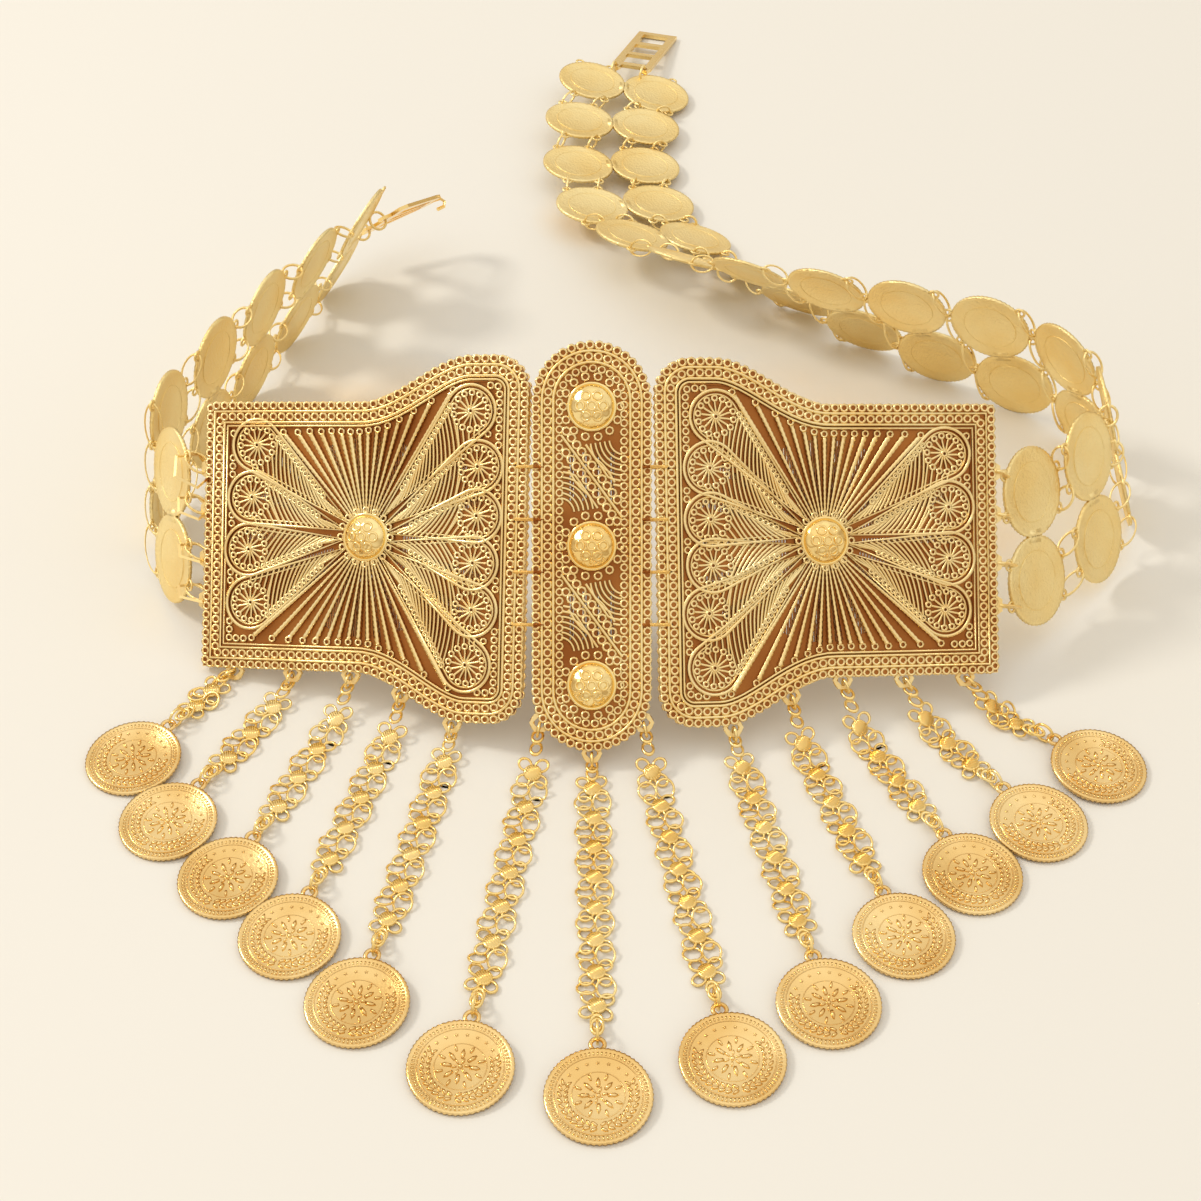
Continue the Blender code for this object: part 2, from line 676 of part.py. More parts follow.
def ladder_clasp(last_link):
    """Flat frame with three windows at the end of the right-hand band. It turns on its rings."""
    middle, along, tall, out = last_link
    length, width = LADDER_SIZE
    reach = CLASP_RING_R
    drop = math.asin((middle.z - LADDER_T / 2.0 - 0.05) / (reach + length + 1.4))
    heading = turn(LADDER_HEADING) * math.cos(drop) - UP * math.sin(drop)
    across = heading.cross(UP).normalized()
    pivot = middle + along * (RING_FIX_X - CLASP_RING_SINK) + turn(LADDER_HEADING) * reach
    outline = [(1.4, -width / 2.0), (1.4 + length, -width / 2.0), (1.4 + length, width / 2.0), (1.4, width / 2.0)]
    for y in (CLASP_EAR_Y, -CLASP_EAR_Y):
        outline += [(1.4, y + 1.7), (-1.7, y + 1.2), (-1.7, y - 1.2), (1.4, y - 1.7)]
    pane = (length - 4.0 * LADDER_BAR) / 3.0
    holes = [diamond(0.0, y, EAR_HOLE_HALF) for y in (-CLASP_EAR_Y, CLASP_EAR_Y)]
    for k in range(3):
        x = 1.4 + LADDER_BAR + k * (pane + LADDER_BAR)
        y = width / 2.0 - LADDER_BAR
        holes.append([(x, -y), (x + pane, -y), (x + pane, y), (x, y)])
    mesh = flat_mesh("ladder_clasp", [outline] + holes, LADDER_T)
    mesh.transform(Matrix.Translation((reach * MM, 0.0, 0.0)))
    add_piece("ladder_clasp", mesh, frame_matrix(pivot, heading, -across), "clasp")
    return [(pivot - across * y, heading, across) for y in (-CLASP_EAR_Y, CLASP_EAR_Y)]


def hook_clasp(last_link):
    """Slotted plate with a bent wire hook, at the end of the left-hand band."""
    middle, along, tall, out = last_link
    heading, rise_dir, normal = link_frame(*HOOK_POSE)
    reach = CLASP_RING_R
    pivot = middle + along * RING_FIX_X + heading * reach
    length, height = HOOK_SIZE
    half = height / 2.0
    outline = [(1.4, -half), (4.4, -half), (length, -HOOK_END_HALF), (length + 2.4, -3.2), (length + 2.4, 3.2)]
    outline += [(length, HOOK_END_HALF), (4.4, half), (1.4, half)]
    for y in (CLASP_EAR_Y, -CLASP_EAR_Y):
        outline += [(1.4, y + 1.7), (-1.7, y + 1.2), (-1.7, y - 1.2), (1.4, y - 1.7)]
    holes = [diamond(0.0, y, EAR_HOLE_HALF) for y in (-CLASP_EAR_Y, CLASP_EAR_Y)]
    for low, high, low_end, high_end in ((-8.2, -4.0, -3.6, -1.8), (-2.0, 2.0, -0.9, 0.9), (4.0, 8.2, 1.8, 3.6)):
        holes.append([(5.0, low), (length - 1.6, low_end), (length - 1.6, high_end), (5.0, high)])
    mesh = flat_mesh("hook_clasp", [outline] + holes, HOOK_T)
    mesh.transform(Matrix.Translation((reach * MM, 0.0, 0.0)))
    matrix = frame_matrix(pivot, heading, rise_dir)
    hook = add_piece("hook_clasp", mesh, matrix, "clasp")
    curve = bpy.data.curves.new("hook_wire", "CURVE")
    curve.dimensions = "3D"
    curve.bevel_depth = 0.55 * MM
    curve.bevel_resolution = 0
    curve.use_fill_caps = True
    spline = curve.splines.new("POLY")
    route = [(length + 0.6, 0.0), (length + 4.2, 0.3), (length + 5.2, 1.6), (length + 4.2, 2.9), (length + 1.6, 3.0)]
    spline.points.add(len(route) - 1)
    for point, (x, z) in zip(spline.points, route):
        point.co = (x * MM, 0.0, z * MM, 1.0)
    source = bpy.data.objects.new("hook_wire_curve", curve)
    bpy.context.scene.collection.objects.link(source)
    graph = bpy.context.evaluated_depsgraph_get()
    wire = bpy.data.meshes.new_from_object(source.evaluated_get(graph))
    bpy.data.objects.remove(source, do_unlink=True)
    work = bmesh.new()
    work.from_mesh(wire)
    bmesh.ops.remove_doubles(work, verts=work.verts, dist=1e-6)
    bmesh.ops.recalc_face_normals(work, faces=work.faces)
    work.to_mesh(wire)
    work.free()
    wire.transform(Matrix.Translation((reach * MM, 0.0, 0.0)))
    join(hook, [add_helper("hook_wire", wire, matrix)])
    return [(pivot + rise_dir * y, heading, rise_dir) for y in (-CLASP_EAR_Y, CLASP_EAR_Y)]


def build():
    frames = plate_frames()
    plates, rings = front_plates(frames)
    bosses(frames)
    for name, collected in pendants(frames, plates).items():
        rings[name] += collected
    for name, piece in plates.items():
        join(piece, rings[name])
    for side, rows, prefix in (("left", LEFT_BAND, "band_left"), ("right", RIGHT_BAND, "band_right")):
        start, outward, up = frames[side]
        links = band_frames(start + outward * SIDE_LENGTH, outward, up, rows)
        ends = hook_clasp(links[-1]) if side == "left" else ladder_clasp(links[-1])
        band(prefix, (plates[side], frames[side]), links, ends)


build()
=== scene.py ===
"""Looks of the coin waist chain, laid open on a pale surface in warm side light."""

import math
import random

import bmesh
import bpy
from mathutils import Matrix, Vector


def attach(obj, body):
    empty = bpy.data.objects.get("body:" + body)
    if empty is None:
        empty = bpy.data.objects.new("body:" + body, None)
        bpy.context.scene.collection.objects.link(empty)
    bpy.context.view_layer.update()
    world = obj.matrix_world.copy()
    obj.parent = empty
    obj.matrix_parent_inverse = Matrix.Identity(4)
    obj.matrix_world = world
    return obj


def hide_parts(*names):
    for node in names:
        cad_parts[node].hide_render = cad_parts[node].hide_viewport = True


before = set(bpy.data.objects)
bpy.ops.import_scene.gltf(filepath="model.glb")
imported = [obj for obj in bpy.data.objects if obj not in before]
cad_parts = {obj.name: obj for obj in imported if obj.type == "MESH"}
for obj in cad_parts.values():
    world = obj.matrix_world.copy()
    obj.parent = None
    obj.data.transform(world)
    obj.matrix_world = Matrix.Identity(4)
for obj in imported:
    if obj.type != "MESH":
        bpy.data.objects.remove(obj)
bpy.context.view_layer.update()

MM = 0.001
UP = Vector((0.0, 0.0, 1.0))
RIGHT = Vector((1.0, 0.0, 0.0))

# Sizes shared with the solids, in millimetres.
LAYOUT_ZERO = Vector((11.46, 67.8, 0.0))
COIN_D = 22.0
LINK_STEP = 21.4
LINK_T = 1.0
LINK_HALF_PITCH = 11.6
LEAST_SPAN = 3.3
GAP_STEP = 0.1
MOST_GAP = 8.0
LYING_Z = 5.1
EAR_HEIGHTS = (-15.7, -5.7, 5.7, 15.7)
EAR_X = 10.1
RING_FIX_X = 8.9
LEAN_DEG = 41.5
PLATE_T = 1.0
RIM_T = 1.8
CENTRE_SIZE = (27.0, 93.4)
SIDE_LENGTH = 81.3
SIDE_TALL_HALF = 42.2
SIDE_LOW_HALF = 31.5
SIDE_CORNER = 8.0
FLARE_START = 14.0
FLARE_END = 41.0
SEAM_GAP = 1.5
CENTRE_POINT = Vector((-2.0, -25.4, 39.1))
BOSS_X = 39.5
BOSS_Y = (31.8, 0.0, -31.8)
BOSS_D = 12.0
BOSS_H = 2.8
BOSS_GAP = 0.3
CHAIN_Z = 0.56
FLOOR_CLEAR = 0.05
END_RING_R = 2.2
END_RING_Z = 2.72
TOP_RING_R = 1.6
TOP_RING_LOW_Z = 2.8
COIN_EAR_X = 12.6
COIN_T = 1.1
COIN_ARM = END_RING_R + COIN_EAR_X

# One row per pendant: plate, distance of its eyelet from the plate's inner edge (on the
# centre plate from its middle), flowers in the chain, and the coin's middle.
PENDANTS = (
    ("left", 73.1, 2, (-107.2, -56.3)),
    ("left", 57.9, 3, (-96.4, -76.0)),
    ("left", 42.9, 4, (-81.0, -92.7)),
    ("left", 30.1, 5, (-65.9, -109.1)),
    ("left", 17.1, 6, (-50.2, -126.7)),
    ("centre", -11.9, 7, (-28.1, -143.0)),
    ("centre", 0.0, 8, (-0.4, -150.0)),
    ("centre", 11.9, 7, (26.6, -141.0)),
    ("right", 17.1, 6, (47.0, -126.9)),
    ("right", 31.0, 5, (64.3, -108.9)),
    ("right", 43.5, 4, (81.0, -91.5)),
    ("right", 58.4, 3, (97.6, -76.4)),
    ("right", 73.4, 2, (113.9, -58.8)),
)

# Band links: direction, lean to the right and to the rear, extra gap, slip and lift.
LEFT_BAND = (
    (118, 0.02, 0.52, 0.2, 0.0, 2.0),
    (76, 0.08, 0.32, 2.2, 0.0, 0.5),
    (69, 0.15, 0.13, 2.8, 0.0, 0.0),
    (68, 0.23, 0.00, 2.6, 0.0, 0.0),
    (66, 0.32, -0.12, 3.0, 0.0, 0.0),
    (71, 0.40, -0.23, 3.0, 0.0, 0.0),
)
RIGHT_BAND = (
    (50, -0.08, 0.56, -1.2, 0.0, 5.5),
    (54, -0.18, 0.40, -0.4, 0.0, 2.5),
    (90, -0.27, 0.24, 0.0, 0.0, 0.5),
    (126, -0.36, 0.08, 1.9, 0.0, 0.0),
    (153, -0.42, -0.05, 2.4, 0.0, 0.0),
    (158, -0.48, -0.16, 2.2, 0.0, 0.0),
    (157, -0.57, -0.25, 1.6, 0.0, 0.0),
    (154, -0.68, -0.33, 2.2, 0.0, 0.0),
    (149, -0.79, -0.41, 2.0, 1.0, 0.6),
    (132, -0.89, -0.36, 1.4, 2.0, 1.2),
    (115, -0.95, -0.28, 0.8, 3.0, 0.5),
    (102, -0.98, -0.16, 0.4, -1.5, 0.0),
    (93, -0.99, -0.05, 0.2, -3.0, 0.9),
    (80, -0.98, 0.08, 0.2, -3.5, 0.7),
)
LADDER_SIZE = (33.0, 13.5)
LADDER_T = 1.2
LADDER_HEADING = 73.0
CLASP_RING_R = 2.6
CLASP_RING_SINK = 0.7
CLASP_EAR_Y = 5.0
HOOK_POSE = (40, 0.55, -0.50)


# Places of the pieces


def turn(degrees):
    """Level direction, counted from the right towards the rear."""
    angle = math.radians(degrees)
    return Vector((math.cos(angle), math.sin(angle), 0.0))


def frame_matrix(point, x_axis, y_axis):
    """Frame at a point: first axis along x_axis, second near y_axis; millimetres to metres."""
    x_dir = x_axis.normalized()
    z_dir = x_dir.cross(y_axis).normalized()
    matrix = Matrix((x_dir, z_dir.cross(x_dir), z_dir)).transposed().to_4x4()
    matrix.translation = (point - LAYOUT_ZERO) * MM
    return matrix @ Matrix.Scale(MM, 4)


def plate_frames():
    """Inner end, outward direction and upward direction of each plate, at its middle height."""
    slope = math.radians(LEAN_DEG)
    up = Vector((0.0, math.sin(slope), math.cos(slope)))
    facing = Vector((0.0, -math.cos(slope), math.sin(slope)))
    frames = {"centre": (CENTRE_POINT, RIGHT, up)}
    for name, sign, yaw, rise, raised in (("left", -1, 18.0, 1.4, 1.4), ("right", 1, 11.0, 1.0, 0.7)):
        start = CENTRE_POINT + RIGHT * sign * (CENTRE_SIZE[0] / 2.0 + SEAM_GAP) + up * raised
        flat = RIGHT * sign * math.cos(math.radians(yaw)) - facing * math.sin(math.radians(yaw))
        tilt = math.radians(rise)
        outward = flat * math.cos(tilt) + up * math.sin(tilt)
        frames[name] = (start, outward, up * math.cos(tilt) - flat * math.sin(tilt))
    return frames


def front(plate):
    """Frame on the middle of a plate's thickness, x outward, y up its slope and z to the front."""
    start, outward, up = FRAMES[plate]
    matrix = frame_matrix(start, outward, up)
    return matrix @ Matrix.Scale(-1.0, 4, (0.0, 0.0, 1.0)) if plate == "left" else matrix


def side_half_height(x):
    """Half the height of a side plate at a distance from its inner end."""
    t = min(1.0, max(0.0, (x - FLARE_START) / (FLARE_END - FLARE_START)))
    return SIDE_TALL_HALF - (SIDE_TALL_HALF - SIDE_LOW_HALF) * t * t * (3.0 - 2.0 * t)


def link_frame(heading, lean_right, lean_rear):
    """Directions of a link: along the band, up its pair of discs, and out of its face."""
    tall_z = math.sqrt(max(0.0, 1.0 - lean_right**2 - lean_rear**2))
    tall = Vector((lean_right, lean_rear, tall_z)).normalized()
    run = turn(heading)
    along = (run - tall * run.dot(tall)).normalized()
    return along, tall, along.cross(tall)


def link_height(tall, out):
    """Height of a link's middle that keeps it just clear of the surface."""
    round_part = COIN_D / 2.0 * math.sqrt(max(0.0, 1.0 - out.z**2))
    lowest = LINK_STEP / 2.0 * abs(tall.z) + round_part + LINK_T / 2.0 * abs(out.z)
    return max(lowest + 0.02, LYING_Z)


def band_frames(edge, outward, up, rows):
    """Lays the links one after another, each as near the last as its rings let it come."""
    links = []
    middle, before, tall_before, reach, fixed_x = edge, outward, up, 1.0, 0.3
    for heading, lean_right, lean_rear, extra_gap, slip, lift in rows:
        along, tall, out = link_frame(heading, lean_right, lean_rear)
        run = turn(heading)
        height = link_height(tall, out) + lift
        fixed = [middle + before * fixed_x + tall_before * h for h in EAR_HEIGHTS]
        gap = 0.0
        while True:
            step = before * reach + (before + run).normalized() * gap
            step += along * LINK_HALF_PITCH + tall * slip
            spot = Vector((middle.x + step.x, middle.y + step.y, height))
            ears = [spot - along * EAR_X + tall * h for h in EAR_HEIGHTS]
            spans = [(ear - point).dot(run) for ear, point in zip(ears, fixed)]
            if min(spans) >= LEAST_SPAN + extra_gap or gap > MOST_GAP:
                break
            gap += GAP_STEP
        middle, before, tall_before, reach, fixed_x = spot, along, tall, LINK_HALF_PITCH, RING_FIX_X
        links.append((middle, along, tall, out))
    return links


FRAMES = plate_frames()
BANDS = {}
for side, rows in (("left", LEFT_BAND), ("right", RIGHT_BAND)):
    start, outward, up = FRAMES[side]
    BANDS[side] = band_frames(start + outward * SIDE_LENGTH, outward, up, rows)


# Meshes


def moved(x, y, z):
    return Matrix.Translation((x, y, z))


def stretched(x, y, z):
    return Matrix.Diagonal((x, y, z, 1.0))


def turned_by(angle, axis="Z"):
    return Matrix.Rotation(angle, 4, axis)


def round_angles(count, offset=0.0):
    """Even angles round a circle, in radians."""
    return [2.0 * math.pi * (k + offset) / count for k in range(count)]


def spun_ring(around, across, wire, radius):
    """Ring of round wire about the z axis, as a bmesh."""
    work = bmesh.new()
    made = bmesh.ops.create_circle(work, segments=across, radius=wire)
    bmesh.ops.rotate(work, verts=made["verts"], matrix=Matrix.Rotation(math.pi / 2, 3, "X"))
    bmesh.ops.translate(work, verts=made["verts"], vec=(radius, 0.0, 0.0))
    bmesh.ops.spin(
        work, geom=list(work.edges) + list(work.verts), axis=(0.0, 0.0, 1.0), cent=(0.0, 0.0, 0.0),
        angle=2.0 * math.pi, steps=around, use_merge=True,
    )
    bmesh.ops.recalc_face_normals(work, faces=work.faces)
    return work


def stamp(work, shape, matrix):
    """A copy of a mesh, set into the piece under way."""
    before = len(work.verts)
    work.from_mesh(shape)
    work.verts.ensure_lookup_table()
    new = work.verts[before:]
    bmesh.ops.transform(work, matrix=matrix, verts=new)
    if matrix.determinant() < 0:
        bmesh.ops.reverse_faces(work, faces=list({f for v in new for f in v.link_faces}))


def cube():
    work = bmesh.new()
    bmesh.ops.create_cube(work, size=1.0)
    return work


def kept(work, name="shape"):
    """The finished mesh of a bmesh."""
    mesh = bpy.data.meshes.new(name)
    work.to_mesh(mesh)
    work.free()
    return mesh


def piece(name, mesh, body, material, replaced=()):
    """Object at the origin that rides a body and may stand in for nodes of the solids."""
    obj = bpy.data.objects.new(name, mesh)
    bpy.context.scene.collection.objects.link(obj)
    mesh.materials.clear()
    mesh.materials.append(material)
    mesh.shade_smooth()
    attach(obj, body)
    if replaced:
        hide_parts(*replaced)


class Wirework:
    """Gathers bent wires, in millimetres, and turns them into one mesh."""

    def __init__(self, name, matrix):
        self.matrix = matrix
        self.curve = bpy.data.curves.new(name, "CURVE")
        self.curve.dimensions = "3D"
        self.curve.bevel_depth = 1.0 * MM
        self.curve.bevel_resolution = 0
        self.curve.use_fill_caps = True

    def wire(self, points, radius, closed=False):
        """Wire through points; its radius is one number, or a list with one for each point."""
        spline = self.curve.splines.new("POLY")
        spline.points.add(len(points) - 1)
        spline.use_cyclic_u = closed
        for k, point in enumerate(points):
            place = self.matrix @ Vector(point)
            spline.points[k].co = (place.x, place.y, place.z, 1.0)
            spline.points[k].radius = radius[k] if isinstance(radius, list) else radius

    def ring(self, x, y, z, radius, wire, steps):
        angles = round_angles(steps)
        self.wire([(x + radius * math.cos(a), y + radius * math.sin(a), z) for a in angles], wire, True)

    def mesh(self):
        source = bpy.data.objects.new("wires", self.curve)
        bpy.context.scene.collection.objects.link(source)
        graph = bpy.context.evaluated_depsgraph_get()
        mesh = bpy.data.meshes.new_from_object(source.evaluated_get(graph))
        bpy.data.objects.remove(source, do_unlink=True)
        return mesh


def walk(path, step):
    """Points at even steps along a line of points."""
    lengths = [0.0]
    for a, b in zip(path, path[1:]):
        lengths.append(lengths[-1] + math.dist(a, b))
    count = max(1, round(lengths[-1] / step))
    places, at = [], 0
    for k in range(count):
        want = lengths[-1] * (k + 0.5) / count
        while lengths[at + 1] < want:
            at += 1
        t = (want - lengths[at]) / (lengths[at + 1] - lengths[at])
        a, b = path[at], path[at + 1]
        places.append(tuple(p + (q - p) * t for p, q in zip(a, b)))
    return places


def bezier(a, b, c, d, steps):
    """Curve from a to d that b and c pull on."""
    points = []
    for k in range(steps + 1):
        t = k / steps
        s = 1.0 - t
        points.append(tuple(
            s**3 * p + 3 * s * s * t * q + 3 * s * t * t * r + t**3 * w for p, q, r, w in zip(a, b, c, d)
        ))
    return points


# Materials


class Sock:
    """A shader socket with arithmetic; a comparison gives 1 where it holds and 0 elsewhere."""

    def __init__(self, shader, socket):
        self.shader, self.socket = shader, socket

    def _math(self, operation, other, swapped=False):
        values = (other, self) if swapped else (self, other)
        return self.shader.add("ShaderNodeMath", {"operation": operation}, values)

    def __add__(self, other):
        return self._math("ADD", other)

    __radd__ = __add__

    def __mul__(self, other):
        return self._math("MULTIPLY", other)

    __rmul__ = __mul__

    def __sub__(self, other):
        return self._math("SUBTRACT", other)

    def __rsub__(self, other):
        return self._math("SUBTRACT", other, True)

    def __gt__(self, other):
        return self._math("GREATER_THAN", other)

    def __lt__(self, other):
        return self._math("LESS_THAN", other)

    def __abs__(self):
        return self.shader.add("ShaderNodeMath", {"operation": "ABSOLUTE"}, (self,))

    def clamp(self):
        return self.shader.add("ShaderNodeClamp", {}, (self,))

    def root(self):
        return self.shader.add("ShaderNodeMath", {"operation": "SQRT"}, (self,))


class Shader:
    """Nodes of one material."""

    def __init__(self, name):
        self.material = bpy.data.materials.new(name)
        self.material.use_nodes = True
        self.tree = self.material.node_tree
        self.tree.nodes.clear()
        self.output = self.tree.nodes.new("ShaderNodeOutputMaterial")
        self.surface = self.tree.nodes.new("ShaderNodeBsdfPrincipled")
        self.tree.links.new(self.surface.outputs[0], self.output.inputs[0])
        self.place = self.add("ShaderNodeTexCoord", {}, (), "Object")

    def add(self, kind, settings, values=(), output=0):
        node = self.tree.nodes.new(kind)
        for key, value in settings.items():
            if key == "stops":
                ramp = node.color_ramp
                while len(ramp.elements) < len(value):
                    ramp.elements.new(0.5)
                for element, (at, color) in zip(ramp.elements, value):
                    element.position, element.color = at, (*color, 1.0)
            else:
                setattr(node, key, value)
        pairs = values.items() if isinstance(values, dict) else enumerate(values)
        for key, value in pairs:
            self.feed(node.inputs[key], value)
        return Sock(self, node.outputs[output])

    def feed(self, target, value):
        if isinstance(value, Sock):
            self.tree.links.new(value.socket, target)
        else:
            target.default_value = value

    def set(self, **values):
        for key, value in values.items():
            self.feed(self.surface.inputs[key.replace("_", " ")], value)

    def noise(self, scale, detail=2.0, roughness=0.5):
        inputs = {"Vector": self.place, "Scale": scale, "Detail": detail, "Roughness": roughness}
        return self.add("ShaderNodeTexNoise", {}, inputs)

    def ramp(self, value, *stops):
        return self.add("ShaderNodeValToRGB", {"stops": stops}, {"Fac": value})

    def mix(self, factor, a, b):
        node = self.tree.nodes.new("ShaderNodeMix")
        node.data_type = "RGBA"
        self.feed(node.inputs[0], factor)
        self.feed(node.inputs[6], a)
        self.feed(node.inputs[7], b)
        return Sock(self, node.outputs[2])

    def along(self, point, axis):
        """Distance from a point along an axis, in millimetres."""
        away = self.add("ShaderNodeVectorMath", {"operation": "SUBTRACT"}, (self.place, tuple(point)))
        node = self.tree.nodes.new("ShaderNodeVectorMath")
        node.operation = "DOT_PRODUCT"
        self.feed(node.inputs[0], away)
        self.feed(node.inputs[1], tuple(axis))
        return Sock(self, node.outputs["Value"]) * 1000.0

    def bump(self, height, strength, distance):
        inputs = {"Height": height, "Strength": strength, "Distance": distance}
        self.set(Normal=self.add("ShaderNodeBump", {}, inputs))


PATCH_STOPS = ((0.35, (0, 0, 0)), (0.65, (1, 1, 1)))


def gold(name, light, deep, rough, grain, grain_scale, depth=0.0001):
    """Gold plate: patches of tone, a grain that scatters the gloss, and a fine bump."""
    shader = Shader(name)
    patches = shader.ramp(shader.noise(60.0, 3.0), *PATCH_STOPS)
    fine = shader.noise(grain_scale, 2.0, 0.6)
    tone = shader.mix(patches, (*deep, 1.0), (*light, 1.0))
    shader.set(Base_Color=tone, Metallic=1.0, Roughness=fine * 0.16 + (rough - 0.08))
    shader.bump(fine, grain, depth)
    return shader.material


WIRE_GOLD = gold("filigree wire gold", (1.0, 0.81, 0.42), (0.95, 0.70, 0.31), 0.30, 0.25, 2600.0)
# Dark red-brown strands under the openwork: painted shade, warmed by reflected gold.
PAINTED_SHADE_STRAND_GOLD = gold("painted shade strand gold", (0.72, 0.38, 0.16), (0.55, 0.26, 0.09), 0.5, 0.2, 2000.0)
LINK_GOLD = gold("satin link gold", (1.0, 0.83, 0.43), (0.97, 0.74, 0.31), 0.42, 1.0, 1300.0, 0.0003)
CHAIN_GOLD = gold("bright chain gold", (1.0, 0.80, 0.38), (0.97, 0.70, 0.25), 0.24, 0.20, 1800.0)
COIN_GOLD = gold("struck coin gold", (0.97, 0.73, 0.35), (0.82, 0.54, 0.20), 0.22, 0.45, 2000.0)
BOSS_GOLD = gold("polished boss gold", (1.0, 0.80, 0.38), (0.95, 0.68, 0.26), 0.14, 0.12, 900.0)
CLASP_GOLD = gold("clasp gold", (1.0, 0.78, 0.36), (0.94, 0.68, 0.27), 0.24, 0.20, 1600.0)

# Light and deep tones of the painted shade behind a plate's wires, and of the plate's own gold at its
# edge.
PAINTED_SHADE_TONES = ((0.46, 0.18, 0.045), (0.32, 0.105, 0.025))
EDGE_TONES = ((1.0, 0.80, 0.40), (0.95, 0.70, 0.30))


def paint(node_name, material):
    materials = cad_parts[node_name].data.materials
    materials.clear()
    materials.append(material)


# Filigree of the plates

RIM_Z = RIM_T / 2.0
FIELD_Z = PLATE_T / 2.0 + 0.35
PETAL_R = 6.25
PETAL_TIP_R = 4.6
HEAD_SPOKES = 14
STRAND_STEP = 1.36
FAN_ROPES = 15
RIM_RING_WIRE = 0.34

# Rows of a rim: distance in from the edge, kind, size of the ring or wire, and step of the rings.
SIDE_RIM = (
    (0.75, "rings", 0.84, 2.15),
    (2.05, "wire", 0.44, 0.0),
    (3.35, "rings", 0.85, 2.15),
    (4.65, "wire", 0.44, 0.0),
    (5.50, "wire", 0.34, 0.0),
)
CENTRE_RIM = (
    (0.75, "rings", 0.84, 2.15),
    (2.10, "wire", 0.44, 0.0),
    (3.40, "rings", 0.86, 2.20),
    (4.70, "wire", 0.44, 0.0),
)


def side_edge(inset):
    """Closed outline of a side plate, this far in from its edge."""
    corner = max(0.6, SIDE_CORNER - inset)
    high = SIDE_TALL_HALF - SIDE_CORNER
    top = []
    for k in range(9):
        angle = math.radians(180.0 - 90.0 * k / 8.0)
        top.append((SIDE_CORNER + corner * math.cos(angle), high + corner * math.sin(angle)))
    x = SIDE_CORNER + 2.0
    while x < FLARE_END + 7.0:
        slope = (side_half_height(x + 0.1) - side_half_height(x - 0.1)) / 0.2
        size = math.hypot(1.0, slope)
        top.append((x + inset * slope / size, side_half_height(x) - inset / size))
        x += 2.0
    top.append((SIDE_LENGTH - inset, SIDE_LOW_HALF - inset))
    edge = top + [(x, -y) for x, y in reversed(top)]
    return edge + [edge[0]]


def stadium_edge(inset):
    """Closed outline of the centre plate, this far in from its edge."""
    half_width, half_height = CENTRE_SIZE[0] / 2.0, CENTRE_SIZE[1] / 2.0
    radius = half_width - inset
    straight = half_height - half_width
    arc = [math.pi * k / 24.0 for k in range(25)]
    points = [(radius * math.cos(a), straight + radius * math.sin(a)) for a in arc]
    points += [(-x, -y) for x, y in points]
    return points + [points[0]]


def rim(work, edge, rows):
    """Rows of small rings with plain wires between them."""
    for inset, kind, size, step in rows:
        path = edge(inset)
        if kind == "rings":
            for x, y in walk(path, step):
                work.ring(x, y, RIM_Z + 0.1, size, RIM_RING_WIRE, 8)
        else:
            work.wire([(x, y, RIM_Z + 0.25) for x, y in path[:-1]], size, closed=True)


def rope(work, start, end, near, far):
    """Two-strand twisted wire that thickens from one end to the other, drawn with waists."""
    steps = max(2, round(math.dist(start, end) / 0.6))
    fine = [tuple(p + (q - p) * k / steps for p, q in zip(start, end)) for k in range(steps + 1)]
    sizes = [(near + (far - near) * k / steps) * (0.76 if k % 2 else 1.0) for k in range(steps + 1)]
    work.wire(fine, sizes)


def petal(work, tip, head):
    """Teardrop with its point at tip: straight sides, a round head of scrolls, and a comb of strands."""
    ax, ay = tip
    bx, by = head
    length = math.hypot(bx - ax, by - ay)
    ux, uy = (bx - ax) / length, (by - ay) / length
    flare = math.asin(PETAL_R / length)

    def at(u, v, lift=0.0):
        return (ax + ux * u - uy * v, ay + uy * u + ux * v, FIELD_Z + lift)

    def round_head(radius, angle, lift=0.0):
        return at(length + radius * math.cos(angle), radius * math.sin(angle), lift)

    reach = 90.0 + math.degrees(flare)
    arc = [math.radians(reach - 2.0 * reach * k / 22.0) for k in range(23)]
    for radius, wire, lift in ((PETAL_R - 0.1, 0.46, 0.25), (PETAL_R - 1.1, 0.26, 0.0)):
        point = at(length - length * radius / PETAL_R, 0.0, lift)
        work.wire([point] + [round_head(radius, a, lift) for a in arc], wire, closed=True)
    # Scrolls round the head's middle.
    for angle in round_angles(HEAD_SPOKES, 0.5):
        arm = [(0.75, angle - 0.25), (1.8, angle - 0.05), (2.9, angle), (3.5, angle)]
        work.wire([round_head(d, a) for d, a in arm], 0.31)
        work.ring(*round_head(4.25, angle), 0.66, 0.33, 7)
    work.ring(*at(length, 0.0, 0.15), 0.62, 0.32, 7)
    # Comb of bent strands across the narrow part, each with a curl at its outer end.
    tan = math.tan(flare)
    side = math.copysign(1.0, by) * math.copysign(1.0, ux)
    u = 4.5
    while u < length - 2.6:
        half = u * tan
        foot = max(1.6, u - 6.4)
        low = foot * tan
        a, b = at(foot, -side * max(0.0, low - 0.35)), at(foot + 2.8, -side * low * 0.3)
        c, d = at(u - 1.5, side * half * 0.3), at(u - 0.2, side * max(0.3, half - 1.75))
        work.wire(bezier(a, b, c, d, 5), 0.34)
        if half > 1.8:
            work.ring(*at(u + 0.1, side * (half - 1.15), 0.05), 0.62, 0.32, 7)
        u += STRAND_STEP
    # Strands that run on into the head from the far side.
    for k in range(5):
        foot = length - 8.9 + 1.5 * k
        end = round_head(4.7, side * math.radians(176.0 + 21.0 * k))
        start = at(foot, -side * (foot * tan - 0.35))
        work.wire(bezier(start, at(foot + 1.6, -side * foot * tan * 0.55), end, end, 4), 0.33)


